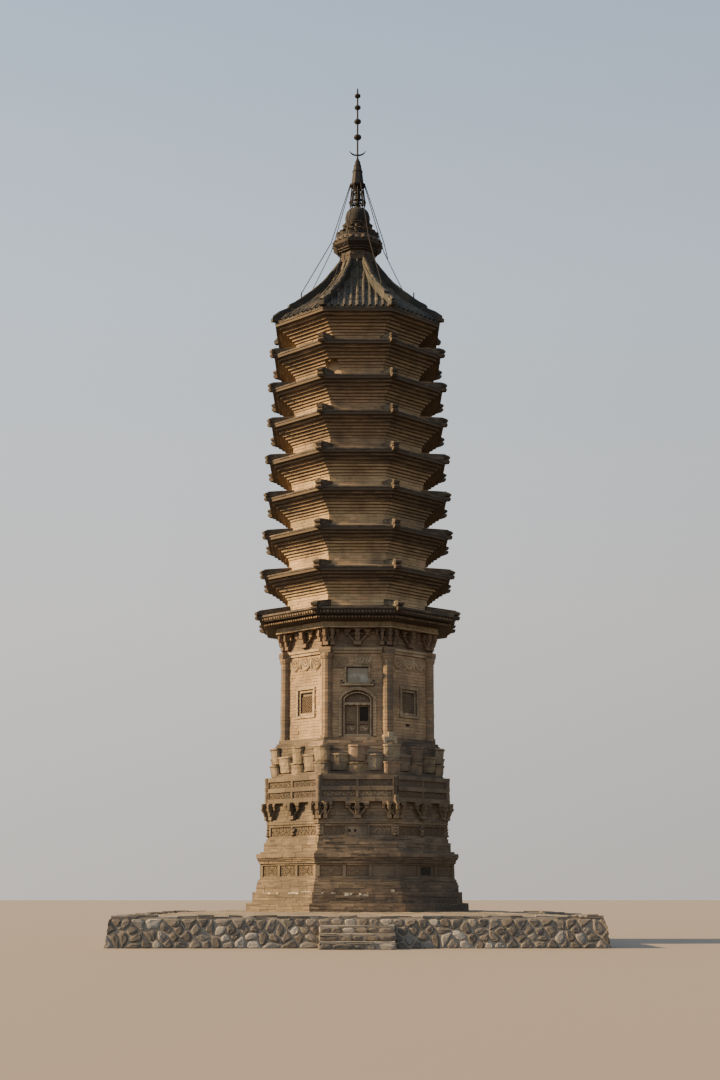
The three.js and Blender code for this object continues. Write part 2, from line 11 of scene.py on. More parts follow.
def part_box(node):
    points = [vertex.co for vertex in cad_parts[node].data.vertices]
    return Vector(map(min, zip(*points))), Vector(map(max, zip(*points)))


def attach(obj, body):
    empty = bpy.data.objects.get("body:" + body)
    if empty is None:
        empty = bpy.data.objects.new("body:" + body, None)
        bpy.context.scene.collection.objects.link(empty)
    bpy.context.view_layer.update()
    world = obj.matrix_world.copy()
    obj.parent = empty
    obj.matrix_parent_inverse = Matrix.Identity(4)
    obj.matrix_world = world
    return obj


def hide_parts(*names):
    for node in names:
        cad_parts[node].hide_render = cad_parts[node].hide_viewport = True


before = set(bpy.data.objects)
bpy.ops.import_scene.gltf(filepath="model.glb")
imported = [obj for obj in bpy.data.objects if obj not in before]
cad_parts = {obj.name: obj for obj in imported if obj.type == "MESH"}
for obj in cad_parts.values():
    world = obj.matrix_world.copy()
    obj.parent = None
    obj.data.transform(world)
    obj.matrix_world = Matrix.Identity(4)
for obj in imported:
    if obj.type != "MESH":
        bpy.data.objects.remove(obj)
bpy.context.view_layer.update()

bpy.ops.object.select_all(action="DESELECT")

# Camera
# It stands in front of the steps, a little over a metre from the ground, and looks up at the tower.
CAMERA_BACK, CAMERA_HEIGHT = 42.0, 1.123
LOOK_UP, LOOK_RIGHT = math.radians(12.2), math.radians(0.091)
bpy.ops.object.camera_add(
    location=(0, -CAMERA_BACK, CAMERA_HEIGHT), rotation=(math.pi / 2 + LOOK_UP, 0, -LOOK_RIGHT)
)
camera = bpy.context.object
camera.data.sensor_width = 36
camera.data.lens = 54.77
camera.data.clip_end = 1000
bpy.context.scene.camera = camera

# Floor and light
# A plain pale floor under a dome of light, and one warm lamp low on the left. It just grazes the front
# facet, so that only the facets on the left are fully lit. The dome is brighter on the lamp's side
# and dark below, and the floor throws no light up under the eaves.
FLOOR_SIZE = 700
bpy.ops.mesh.primitive_plane_add(size=FLOOR_SIZE, location=(0, 0, 0))
floor = bpy.context.object
floor.name = "floor"
pale = bpy.data.materials.new("floor_paint")
pale.use_nodes = True
coat = pale.node_tree.nodes["Principled BSDF"].inputs
coat["Base Color"].default_value = (0.255, 0.205, 0.148, 1)
coat["Roughness"].default_value = 0.9
floor.data.materials.append(pale)
floor.visible_diffuse = False


class Shade:
    """A value or colour among the nodes of a finish or of the dome. Sums on it add Math nodes."""

    def __init__(self, tree, socket=None):
        self.tree = tree
        self.socket = socket

    def node(self, kind, sockets, out=0, stops=None, **settings):
        """Adds a node: its settings and stops come first, then the value or link of each socket."""
        made = self.tree.nodes.new("ShaderNode" + kind)
        for name, value in settings.items():
            setattr(made, name, value)
        if stops:
            ramp = made.color_ramp.elements
            ramp[0].position, ramp[1].position = stops[0][0], stops[-1][0]
            for at, _ in stops[1:-1]:
                ramp.new(at)
            for stop, (_, colour) in zip(ramp, stops):
                stop.color = (*colour, 1)
        for name, value in sockets.items():
            socket = made.inputs[name]
            if isinstance(value, Shade):
                self.tree.links.new(value.socket, socket)
            else:
                socket.default_value = (*value, 1) if socket.type == "RGBA" else value
        return Shade(self.tree, made.outputs[out])

    def math(self, operation, *values):
        return self.node("Math", dict(enumerate(values)), operation=operation)

    def __add__(self, other):
        return self.math("ADD", self, other)

    def __sub__(self, other):
        return self.math("SUBTRACT", self, other)

    def __rsub__(self, other):
        return self.math("SUBTRACT", other, self)

    def __mul__(self, other):
        return self.math("MULTIPLY", self, other)

    __radd__ = __add__
    __rmul__ = __mul__

    def step(self, low, high):
        """0 below low, 1 above high, and smooth between."""
        sockets = {"Value": self, "From Min": low, "From Max": high}
        return self.node("MapRange", sockets, interpolation_type="SMOOTHSTEP")

    def at(self, axis):
        """One coordinate of a place on the piece."""
        return self.node("SeparateXYZ", {"Vector": self.node("TexCoord", {}, out="Object")}, out=axis)

    def facing(self, axis):
        """How far the surface faces along an axis, from -1 to 1."""
        return self.node("SeparateXYZ", {"Vector": self.node("NewGeometry", {}, out="Normal")}, out=axis)

    def grain(self, scale, detail=3, stretch=(1, 1, 1), rough=0.6):
        """Noise with so many lumps to the metre."""
        where = self.node("TexCoord", {}, out="Object")
        where = self.node("Mapping", {"Vector": where, "Scale": [scale * s for s in stretch]})
        return self.node("TexNoise", {"Vector": where, "Scale": 1, "Detail": detail, "Roughness": rough})

    def blend(self, share, under, over, blend_type="MIX"):
        sockets = {0: share, 6: under, 7: over}
        return self.node("Mix", sockets, out=2, data_type="RGBA", blend_type=blend_type)

    def tones(self, stops):
        """A colour for each brick, stone or tile, by the random number that it carries."""
        tone = self.node("Attribute", {}, out="Fac", attribute_name="tone")
        return self.node("ValToRGB", {"Fac": tone}, stops=stops)

    def surface(self, colour, roughness, height, depth, metallic=0.0):
        """Paints the piece: the height, from 0 to 1, stands for so many metres of relief."""
        shader = self.tree.nodes["Principled BSDF"].inputs
        bump = self.node("Bump", {"Height": height, "Strength": 1.0, "Distance": depth})
        self.tree.links.new(colour.socket, shader["Base Color"])
        self.tree.links.new(bump.socket, shader["Normal"])
        shader["Roughness"].default_value = roughness
        shader["Metallic"].default_value = metallic


world = bpy.data.worlds.new("studio")
world.use_nodes = True
dome = Shade(world.node_tree)
towards = {"Vector": dome.node("TexCoord", {}, out="Generated")}
half_up = dome.node("MapRange", {"Value": dome.node("SeparateXYZ", towards, out="Z"), "From Min": -1})
glow = dome.node("ValToRGB", {"Fac": half_up}, stops=[
    (0.485, (0.10, 0.08, 0.06)), (0.495, (0.78, 0.73, 0.68)), (0.585, (0.92, 0.90, 0.88)),
    (0.675, (0.80, 0.91, 1.02)), (0.76, (0.58, 0.73, 0.95)),
])
side = {"Value": dome.node("SeparateXYZ", towards, out="X"), "From Min": -1, "To Min": 1.2, "To Max": 0.52}
light = dome.node("VectorMath", {0: glow, "Scale": dome.node("MapRange", side)}, operation="SCALE")
dome.tree.links.new(light.socket, dome.tree.nodes["Background"].inputs["Color"])
bpy.context.scene.world = world

LAMP_HEIGHT = math.radians(26.3)
LAMP_SIDE = math.radians(87)  # round to the left from straight in front
bpy.ops.object.light_add(type="SUN", rotation=(math.pi / 2 - LAMP_HEIGHT, 0, -LAMP_SIDE))
lamp = bpy.context.object
lamp.data.energy = 11.8
lamp.data.angle = math.radians(2)
lamp.data.color = (1.0, 0.71, 0.38)

# Terrace wall
# Rough grey and brown stones, none quite square, set in mortar. The wall leans back a little, and its
# top is levelled with flat stones.
terrace_random = np.random.default_rng(11)


def new_finish(name):
    """A new material, and the shade that its nodes are made from."""
    material = bpy.data.materials.new(name)
    material.use_nodes = True
    return material, Shade(material.node_tree)


mortar, paint = new_finish("mortar")
sand = paint.grain(60, 5)
colour = paint.blend(sand, (0.235, 0.192, 0.140), (0.37, 0.31, 0.232))
colour = paint.blend(paint.grain(0.9, 4).step(0.45, 0.7) * 0.6, colour, (0.18, 0.145, 0.105))
paint.surface(colour, 0.95, sand, 0.004)

rubble_stone, paint = new_finish("rubble_stone")
colour = paint.tones([
    (0.0, (0.150, 0.130, 0.108)), (0.35, (0.190, 0.166, 0.141)), (0.6, (0.222, 0.193, 0.161)),
    (0.85, (0.29, 0.263, 0.229)), (1.0, (0.52, 0.473, 0.405)),
])
veins = paint.grain(7, 5, rough=0.7)
colour = paint.blend(0.75, colour, paint.blend(veins, (0.40, 0.38, 0.36), (1.0, 0.97, 0.9)), "MULTIPLY")
dust = paint.grain(1.6, 4, (1, 1, 2.5)).step(0.5, 0.72)
colour = paint.blend(dust * 0.4, colour, (0.27, 0.220, 0.160))
paint.surface(colour, 0.92, veins * 0.6 + paint.grain(45, 4) * 0.4, 0.012)


def dress(finish, *names):
    """Gives nodes of the frame a finish in place of their plain one."""
    for name in names:
        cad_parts[name].data.materials.clear()
        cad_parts[name].data.materials.append(finish)


def trim(outline, point, normal):
    """The part of a flat outline that lies behind a line."""
    kept = []
    for here, there in zip(outline, outline[1:] + outline[:1]):
        before = (here[0] - point[0]) * normal[0] + (here[1] - point[1]) * normal[1]
        after = (there[0] - point[0]) * normal[0] + (there[1] - point[1]) * normal[1]
        if before <= 0:
            kept.append(here)
        if before * after < 0:
            t = before / (before - after)
            kept.append((here[0] + t * (there[0] - here[0]), here[1] + t * (there[1] - here[1])))
    return kept


def stone_outlines(width, height, stone_wide, stone_high, joint):
    """Outlines of stones that fill an upright rectangle, each trimmed halfway to its neighbours."""
    columns = max(2, round(width / stone_wide))
    rows = max(1, round(height / stone_high))
    seeds = []
    for row in range(rows):
        for column in range(columns):
            if terrace_random.random() < 0.1:
                continue
            x = column + 0.25 + 0.5 * (row % 2) + terrace_random.uniform(-0.3, 0.3)
            z = row + 0.5 + terrace_random.uniform(-0.28, 0.28)
            seeds.append((x * width / columns - width / 2, z * height / rows))
    outlines = []
    for x, z in seeds:
        outline = [(-width / 2, 0), (width / 2, 0), (width / 2, height), (-width / 2, height)]
        for other_x, other_z in seeds:
            away = math.hypot(other_x - x, other_z - z)
            if 0 < away < 4 * stone_wide:
                normal = ((other_x - x) / away, (other_z - z) / away)
                reach = away / 2 - joint
                outline = trim(outline, (x + normal[0] * reach, z + normal[1] * reach), normal)
        if len(outline) > 2 and np.ptp(np.array(outline), axis=0).min() > 0.35 * stone_high:
            outlines.append(outline)
    return outlines


def add_object(name, data):
    """A new object, the only one selected."""
    piece = bpy.data.objects.new(name, data)
    bpy.context.scene.collection.objects.link(piece)
    bpy.ops.object.select_all(action="DESELECT")
    bpy.context.view_layer.objects.active = piece
    piece.select_set(True)
    return piece


def cast(name, points, faces, finish, tones=None):
    """A new mesh object from its points and faces, with a tone for each face."""
    mesh = bpy.data.meshes.new(name)
    mesh.from_pydata(points, [], faces)
    if tones is not None:
        tone = mesh.attributes.new("tone", "FLOAT", "FACE")
        tone.data.foreach_set("value", np.asarray(tones, np.float32))
    mesh.materials.append(finish)
    return add_object(name, mesh)


def rubble(width, height, stone_wide, stone_high, joint, deep, dome):
    """Stones that stand out from the plane y = 0 towards the viewer, rounded on the front."""
    points, faces, tones = [], [], []
    for outline in stone_outlines(width, height, stone_wide, stone_high, joint):
        outline = np.array([
            (a[0] * (1 - t) + b[0] * t, a[1] * (1 - t) + b[1] * t)
            for a, b in zip(outline, outline[1:] + outline[:1]) for t in (0.22, 0.78)
        ])
        middle = outline.mean(0)
        out = terrace_random.uniform(-0.006, 0.012)
        lean = terrace_random.normal(0, 0.05, 2)
        count, first = len(outline), len(points)
        tone = terrace_random.random() ** 1.3
        rings = ((-deep, 1.0), (0, 1.0), (0.45 * dome, 0.93), (0.8 * dome, 0.8), (dome, 0.5))
        for rise, scale in rings:
            ring = middle + (outline - middle) * scale
            rough = terrace_random.normal(0, 0.003, count) if 0 < scale < 1 else np.zeros(count)
            tilt = (ring - middle) @ lean if rise > -deep else np.zeros(count)
            points += [(x, -(rise + out + r + t), z) for (x, z), r, t in zip(ring, rough, tilt)]
        for ring in range(len(rings) - 1):
            here, there = first + ring * count, first + (ring + 1) * count
            for i in range(count):
                faces.append((here + i, here + (i + 1) % count, there + (i + 1) % count, there + i))
        faces.append(tuple(range(first + count - 1, first - 1, -1)))
        faces.append(tuple(range(first + (len(rings) - 1) * count, first + len(rings) * count)))
        tones += [tone] * ((len(rings) - 1) * count + 2)
    return cast("stones", points, faces, rubble_stone, tones)


def join(pieces, name):
    """Several meshes as one."""
    bpy.ops.object.select_all(action="DESELECT")
    for piece in pieces:
        piece.select_set(True)
    bpy.context.view_layer.objects.active = pieces[0]
    bpy.ops.object.join()
    pieces[0].name = name
    return pieces[0]


def reshape(piece, change):
    """Passes all of a mesh's points, as an array, through a function."""
    points = np.empty(len(piece.data.vertices) * 3)
    piece.data.vertices.foreach_get("co", points)
    piece.data.vertices.foreach_set("co", change(points.reshape(-1, 3)).ravel())
    piece.data.update()


def finish_piece(piece, slot, *replaced):
    """The finished piece belongs to the object's one body."""
    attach(piece, "root")
    if replaced:
        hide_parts(*replaced)


def lean_back(points):
    """Leans a side of the wall back, and cuts its ends to the corners' mitre."""
    depth = points[:, 1] + batter * points[:, 2] - wall_high.x
    across = np.clip(points[:, 0], depth + 0.004, -depth - 0.004)
    return np.stack([across, depth, points[:, 2]], 1)


wall_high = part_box("terrace_wall")[1]
wall_top_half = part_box("terrace_fill")[1].x + 0.5
batter = (wall_high.x - wall_top_half) / wall_high.z
sides = []
for quarter in range(4):
    side = rubble(
        2 * wall_high.x, wall_high.z - 0.03, stone_wide=0.27, stone_high=0.145, joint=0.014,
        deep=0.1, dome=0.026,
    )
    reshape(side, lean_back)
    side.data.transform(Matrix.Rotation(quarter * math.pi / 2, 4, "Z"))
    sides.append(side)
finish_piece(join(sides, "terrace_stones"), "rubble_stone")
dress(mortar, "terrace_wall")

# Bricks
# Fired grey-tan bricks, 300 mm long, laid in level courses with thin joints. Each is a little out of
# line with its neighbours. At the tower's corners they are cut to the mitre.
EIGHTH = math.tau / 8
MITRE = math.tan(EIGHTH / 2)  # half of a facet's width, for a face 1 m from the axis
COURSE, JOINT, END_JOINT = 0.075, 0.005, 0.004
LONG, DEEP, HIGH = 0.30, 0.14, 0.07
PROUD = 0.007  # how far the bricks stand out of the mortar
END_WEAR = 2.4  # their beds are worn so much more than their ends
SHORTEST = 0.03  # no shorter piece of a brick is laid
bricks_random = np.random.default_rng(5)


def select_faces(test):
    """In edit mode, selects the faces whose normal passes the test."""
    bpy.ops.mesh.select_mode(type="FACE")
    bpy.ops.mesh.select_all(action="DESELECT")
    shape = bmesh.from_edit_mesh(bpy.context.object.data)
    for face in shape.faces:
        face.select_set(test(face.normal))
    bmesh.update_edit_mesh(bpy.context.object.data)


def pattern_of(piece):
    """Takes a finished mesh apart into its points and faces, to be copied."""
    points = np.array([v.co for v in piece.data.vertices])
    faces = [tuple(face.vertices) for face in piece.data.polygons]
    bpy.data.objects.remove(piece)
    return points, faces


def block_pattern(front_only):
    """A block whose front edges, or all of whose edges, are worn round. Its front lies on y = 0."""
    bpy.ops.mesh.primitive_cube_add(size=1, location=(0, 0.5, 0))
    block = bpy.context.object
    bpy.ops.object.transform_apply(location=True)
    block.scale = (LONG * END_WEAR, DEEP, HIGH)
    bpy.ops.object.transform_apply(scale=True)
    bpy.ops.object.mode_set(mode="EDIT")
    select_faces(lambda normal: not front_only or normal.y < -0.9)
    bpy.ops.mesh.bevel(offset=0.004, segments=1, affect="EDGES")
    bpy.ops.mesh.select_all(action="SELECT")
    bpy.ops.transform.resize(value=(1 / END_WEAR, 1, 1))
    bpy.ops.object.mode_set(mode="OBJECT")
    return pattern_of(block)


brick_pattern = block_pattern(True)
worn_block = block_pattern(False)


def copies(name, slot, finish, points, faces, random):
    """One mesh of many copies, from the points of each copy, with a random tone for each."""
    count, size = points.shape[:2]
    all_faces = [tuple(i + copy * size for i in face) for copy in range(count) for face in faces]
    tones = np.repeat(random.random(count), len(faces))
    piece = cast(name, points.reshape(-1, 3), all_faces, finish, tones)
    if slot:
        finish_piece(piece, slot)
    return piece


def set_blocks(name, slot, finish, rows, pattern=brick_pattern, wear=0.0015, random=bricks_random):
    """Bricks or blocks, each (turn, across, front, low, long, deep, high). Only their middles stretch.

    Bricks are cut to the mitre at the tower's corners, and blocks that are worn all round aren't.
    """
    shape, faces = pattern
    turn, across, front, low, long, deep, high = np.array(rows, float).T[:, :, None]
    sign = np.sign(shape)
    x = across + shape[:, 0] + sign[:, 0] * (long - LONG) / 2
    y = -front + np.where(shape[:, 1] > DEEP / 2, shape[:, 1] + deep - DEEP, shape[:, 1])
    z = low + high / 2 + shape[:, 2] + sign[:, 2] * (high - HIGH) / 2
    points = np.stack([x, y, z], 2) + random.normal(0, wear, (*x.shape, 3))
    if pattern is brick_pattern:
        limit = -points[:, :, 1] * MITRE - 0.001
        points[:, :, 0] = np.clip(points[:, :, 0], -limit, limit)
    x, y, z = points[:, :, 0], points[:, :, 1], points[:, :, 2]
    turned = np.stack([x * np.cos(turn) - y * np.sin(turn), x * np.sin(turn) + y * np.cos(turn), z], 2)
    return copies(name, slot, finish, turned, faces, random)


def course(rows, face, low, high, gaps=lambda facet: (), facets=range(8), long=LONG, deep=DEEP):
    """Adds one course, headers among the stretchers, that leaves the given gaps open."""
    for facet in facets:
        half = face * MITRE
        spans, start = [], -half
        for gap_low, gap_high in sorted(gaps(facet)):
            spans.append((start, gap_low))
            start = gap_high
        spans.append((start, half))
        x = -half - bricks_random.uniform(0.2, 1) * long
        while x < half:
            length = long * bricks_random.choice((1, 1, 1, 0.5)) + bricks_random.uniform(-0.012, 0.012)
            out = face + PROUD + bricks_random.normal(0, 0.0025)
            for low_end, high_end in spans:
                start, end = max(x, low_end), min(x + length - END_JOINT, high_end)
                if end - start > SHORTEST:
                    size = (end - start, deep, high - low - JOINT)
                    rows.append((facet * EIGHTH, (start + end) / 2, out, low, *size))
            x += length


def wall_courses(rows, face, low, high, gaps=lambda facet, z: (), **laid):
    """Fills a height with whole courses."""
    count = max(1, round((high - low) / COURSE))
    each = (high - low) / count
    for i in range(count):
        z = low + i * each
        course(rows, face, z, z + each, lambda facet: gaps(facet, z + each / 2), **laid)


def brick_finish(name, stops, dirt=0.5, lee=0.0, rim=0.0, worn=0.0):
    """Brick: a colour of its own for each one, sandy grain, rain streaks and dark weathering.

    Painted shade darkens what faces up, down or to the left. Where it is given more shade at the sides,
    painted shade darkens both far sides. Where it is given a rim, painted shade darkens it further than
    that from the axis. Where it is worn, dark level lines run along it.
    """
    material, paint = new_finish(name)
    colour = paint.tones(stops)
    sand = paint.grain(85, 4)
    blotches = paint.grain(9, 4)
    mottle = paint.blend(blotches, (0.5, 0.47, 0.45), (1.15, 1.12, 1.08))
    streaks = paint.grain(2.2, 4, (1, 1, 0.22)).step(0.48, 0.7)
    stains = paint.grain(0.55, 5).step(0.46, 0.66)
    colour = paint.blend(0.45, colour, mottle, "MULTIPLY")
    colour = paint.blend(sand * 0.15, colour, (0.48, 0.38, 0.26))
    colour = paint.blend(streaks * dirt * 0.7, colour, (0.12, 0.09, 0.062))
    # Painted shade: faces turned up, or to the left towards the lamp, are darkened so that they read as in
    # shade, and faces turned down are darkened as the shade under things.
    up, left = paint.facing("Z"), 0 - paint.facing("X")
    colour = paint.blend(up.step(0.35, 0.85) * 0.8, colour, (0.075, 0.058, 0.040))
    colour = paint.blend((0 - up).step(0.4, 0.9) * 0.8, colour, (0.42, 0.40, 0.42), "MULTIPLY")
    colour = paint.blend(left.step(0.84, 0.95) * 0.9, colour, (0.25, 0.27, 0.30), "MULTIPLY")
    colour = paint.blend(stains * dirt, colour, (0.10, 0.08, 0.06))
    # Painted shade: the colour is darkened towards the right, away from the lamp, and on the far left,
    # where the lamp shines.
    if lee:
        across = paint.at("X")
        colour = paint.blend(across.step(0.6, 1.9) * lee, colour, (0.065, 0.050, 0.036))
        colour = paint.blend((0 - across).step(1.0, 1.35) * lee * 1.1, colour, (0.078, 0.062, 0.040))
    if worn:
        beds = paint.grain(1, 4, (0.9, 0.9, 15), 0.7).step(0.52, 0.62)
        colour = paint.blend(beds * worn, colour, (0.050, 0.039, 0.028))
    # Painted shade under the eaves: darker further than the rim from the axis, where corbels and slabs
    # overhang.
    if rim:
        x, y = paint.at("X"), paint.at("Y")
        overhang_shade = (x * x + y * y).step(rim ** 2, (rim + 0.08) ** 2)
        colour = paint.blend(overhang_shade * 0.9, colour, (0.07, 0.052, 0.035))
    paint.surface(colour, 0.93, sand * 0.5 + blotches * 0.5, 0.005)
    return material


brick = brick_finish("brick", [
    (0.0, (0.53, 0.366, 0.191)), (0.3, (0.60, 0.419, 0.223)), (0.7, (0.65, 0.456, 0.246)),
    (0.9, (0.70, 0.504, 0.281)), (1.0, (0.65, 0.398, 0.217)),
])
storey_brick = brick_finish("storey_brick", [
    (0.0, (0.47, 0.308, 0.163)), (0.3, (0.535, 0.352, 0.187)), (0.7, (0.58, 0.386, 0.208)),
    (0.9, (0.63, 0.428, 0.240)), (1.0, (0.57, 0.338, 0.187)),
], dirt=0.55, lee=0.12)
base_brick = brick_finish("base_brick", [
    (0.0, (0.15, 0.105, 0.065)), (0.3, (0.24, 0.172, 0.105)), (0.7, (0.30, 0.215, 0.130)),
    (0.9, (0.37, 0.275, 0.172)), (1.0, (0.30, 0.185, 0.115)),
], dirt=0.85, lee=0.5, worn=0.75)
upper_brick = brick_finish("upper_brick", [
    (0.0, (0.36, 0.245, 0.135)), (0.3, (0.42, 0.290, 0.160)), (0.7, (0.47, 0.325, 0.180)),
    (0.9, (0.52, 0.370, 0.210)), (1.0, (0.46, 0.285, 0.160)),
], dirt=0.6)
# A dark brick that stands for shade: painted shade on the upper corbels, the first eave's bracket sets and
# rafter ends, and the recesses of the doors and windows.
smoked_brick = brick_finish("smoked_brick", [
    (0.0, (0.19, 0.122, 0.072)), (0.5, (0.25, 0.166, 0.100)), (1.0, (0.33, 0.225, 0.135)),
], dirt=0.6)
hearting_tint, wall_tint = (0.20, 0.15, 0.095), (0.44, 0.310, 0.178)
hearting = brick_finish("joint_mortar", [(0.0, hearting_tint), (1.0, hearting_tint)], dirt=0.6)
# Beyond 2.08 m from the axis, among the tiers' corbels, the wall mortar is painted in shade.
wall_mortar = brick_finish("wall_mortar", [(0.0, wall_tint), (1.0, wall_tint)], dirt=0.6, rim=2.08)
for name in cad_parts:
    if name not in ("terrace_wall", "terrace_fill"):
        dress(wall_mortar if name.startswith(("tier_", "storey_wall")) else hearting, name)

# Terrace top and steps
# Flat stones level the wall's top all round, with trodden earth behind them. The three steps are
# rubble blocks under worn slabs of a paler stone.
earth, paint = new_finish("terrace_earth")
crumbs = paint.grain(38, 6, rough=0.7)
patches = paint.grain(1.3, 5).step(0.35, 0.65)
colour = paint.blend(patches, (0.165, 0.128, 0.082), (0.27, 0.212, 0.140))
colour = paint.blend(crumbs.step(0.55, 0.75) * 0.5, colour, (0.37, 0.31, 0.225))
paint.surface(colour, 0.97, crumbs, 0.02)
LUMP = 0.018
LEVEL_HALF = 3.3  # the earth is level so far from the axis, and then slopes down to the wall
fill_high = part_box("terrace_fill")[1]
bpy.ops.mesh.primitive_grid_add(x_subdivisions=110, y_subdivisions=110, size=2 * fill_high.x + 0.06)
ground = bpy.context.object
ground.name = "terrace_earth"


def lay_earth(points):
    edge = np.abs(points[:, :2]).max(1)
    slope = np.clip((edge - LEVEL_HALF) / (fill_high.x - LEVEL_HALF), 0, 1)
    height = fill_high.z - slope * (fill_high.z - wall_high.z)
    lumps = [noise.fractal(Vector((x * 2.2, y * 2.2, 0)), 0.9, 2.1, 4) for x, y, _ in points]
    points[:, 2] = height + 0.012 + LUMP * np.clip(lumps, -0.8, 1.2)
    return points


reshape(ground, lay_earth)
thick = ground.modifiers.new("thick", "SOLIDIFY")
thick.thickness, thick.offset = 0.05, -1
bpy.ops.object.modifier_apply(modifier="thick")
ground.data.materials.append(earth)
finish_piece(ground, "terrace_fill")
dress(earth, "terrace_fill")

SLAB_PROUD, SLAB_GAP = 0.012, 0.012
rows = []
for quarter in range(4):
    x = -wall_high.x + 0.12
    while x < wall_high.x - 0.14:
        length = terrace_random.uniform(0.18, 0.5)
        high = terrace_random.uniform(0.045, 0.08)
        front = wall_top_half + SLAB_PROUD + terrace_random.uniform(-0.02, 0.012)
        end = min(x + length, wall_high.x - 0.12)
        low = wall_high.z - 0.035 + terrace_random.uniform(-0.01, 0.012)
        size = (end - x - SLAB_GAP, terrace_random.uniform(0.2, 0.4), high)
        rows.append((quarter * math.pi / 2, (x + end) / 2, front, low, *size))
        x += length
set_blocks("terrace_coping", "rubble_stone", rubble_stone, rows, worn_block, 0.007, terrace_random)

step_slab, paint = new_finish("step_slab")
colour = paint.tones([(0.0, (0.26, 0.225, 0.175)), (0.5, (0.38, 0.33, 0.255)), (1.0, (0.50, 0.44, 0.345))])
pits = paint.grain(30, 5)
colour = paint.blend(0.7, colour, paint.blend(pits, (0.5, 0.48, 0.45), (1.05, 1.02, 0.98)), "MULTIPLY")
colour = paint.blend(paint.grain(3, 4).step(0.5, 0.7) * 0.5, colour, (0.17, 0.135, 0.095))
paint.surface(colour, 0.9, pits, 0.008)
STEPS = ("step_lower", "step_middle", "step_upper")
treads, risers = [], []
for name in STEPS:
    low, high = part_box(name)
    x = low.x
    while x < high.x - 0.1:
        end = min(x + terrace_random.uniform(0.3, 0.62), high.x)
        if high.x - end < 0.15:
            end = high.x
        front = -low.y + SLAB_PROUD + terrace_random.uniform(-0.012, 0.008)
        size = (end - x - SLAB_GAP, 0.36, 0.05 + terrace_random.uniform(-0.005, 0.006))
        treads.append((0, (x + end) / 2, front, high.z - 0.048, *size))
        x = end
    wide, deep, tall = high.x - low.x, high.y - low.y, high.z - low.z
    riser = rubble(wide, tall - 0.05, 0.26, stone_high=0.12, joint=0.008, deep=0.08, dome=0.02)
    riser.data.transform(Matrix.Translation((0, low.y, low.z)))
    risers.append(riser)
    for side, x in ((-1, low.x), (1, high.x)):
        flank = rubble(deep, tall - 0.02, 0.26, stone_high=0.14, joint=0.008, deep=0.08, dome=0.014)
        turn = Matrix.Rotation(side * math.pi / 2, 4, "Z")
        flank.data.transform(Matrix.Translation((x, (low.y + high.y) / 2, low.z)) @ turn)
        risers.append(flank)
set_blocks("step_treads", "step_stone", step_slab, treads, worn_block, 0.004, terrace_random)
finish_piece(join(risers, "step_risers"), "step_stone")
dress(mortar, *STEPS)

# Base courses
# Plain and stepped courses of the same brick, from the footing up to the foot of the first storey.
CORNER = math.cos(EIGHTH / 2)  # a facet's distance from the axis, for a corner radius of 1
FOOT = 0.72  # the height of the tower's foot, from which its levels are measured


def levels(name):
    """Heights at which a node has corners at the back, each with its greatest radius there."""
    points = np.array([v.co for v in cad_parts[name].data.vertices])
    points = points[points[:, 1] > 0]
    reach = np.hypot(points[:, 0], points[:, 1])
    heights = np.unique(points[:, 2].round(3))
    return [(z, reach[np.abs(points[:, 2] - z) < 0.0015].max()) for z in heights]


def bands(name):
    """A stepped body as upright bands: low, high and corner radius of each."""
    steps = levels(name)
    return [(low, high, min(wide, above)) for (low, wide), (high, above) in zip(steps, steps[1:])]


rows = []
for name in ("footing", "base_cornice", "waist", "wall_foot"):
    for low, high, radius in bands(name):
        wall_courses(rows, radius * CORNER, low, high)
set_blocks("base_bricks", "brick", base_brick, rows)

# A few patches of lime are left on the lower courses, on the front facet and the one to its left.
lime = brick_finish("lime_patches", [(0.0, (0.52, 0.46, 0.36)), (1.0, (0.66, 0.60, 0.50))], dirt=0.3)
LIME_PATCHES = (  # facet, left end, right end and height of each
    (7, -0.77, -0.07, 0.44), (7, 0.24, 0.83, 0.44),
    (0, -0.84, -0.55, 0.45), (0, -0.30, 0.22, 0.40), (0, 0.60, 0.82, 0.46),
)
foot_bands = bands("footing")
rows = []
for facet, x, right, z in LIME_PATCHES:
    while x < right:
        long = bricks_random.uniform(0.03, 0.12)
        high = bricks_random.uniform(0.025, 0.07)
        low = FOOT + z + bricks_random.uniform(-0.025, 0.015)
        reach = min(radius for foot, head, radius in foot_bands if foot < low + high and head > low)
        if bricks_random.random() < 0.9:
            rows.append((facet * EIGHTH, x + long / 2, reach * CORNER + 0.0125, low, long, 0.03, high))
        x += long + bricks_random.uniform(0.0, 0.03)
set_blocks("lime_patches", "brick", lime, rows, wear=0.003)

# Lower and upper panel bands
# Between the courses run two bands of sunk panels, whose posts and rails are cut bricks, with scrolls
# carved in the brick itself. On the front facet the lower band's right panel is plain, the next facet
# has lost its middle one, and the upper band has two dark holes.
carved = brick_finish("carved_brick", [
    (0.0, (0.40, 0.285, 0.160)), (0.4, (0.49, 0.350, 0.195)), (0.75, (0.55, 0.405, 0.235)),
    (1.0, (0.62, 0.465, 0.285)),
])
base_carved = brick_finish("base_carved_brick", [
    (0.0, (0.18, 0.125, 0.074)), (0.4, (0.255, 0.183, 0.108)), (0.75, (0.31, 0.226, 0.135)),
    (1.0, (0.38, 0.285, 0.178)),
], dirt=0.75, lee=0.55)
dress(base_carved, "lower_panel_band", "upper_panel_band", "balustrade")
PANEL_SUNK = 0.025
CARVING_SUNK = PANEL_SUNK - 0.004


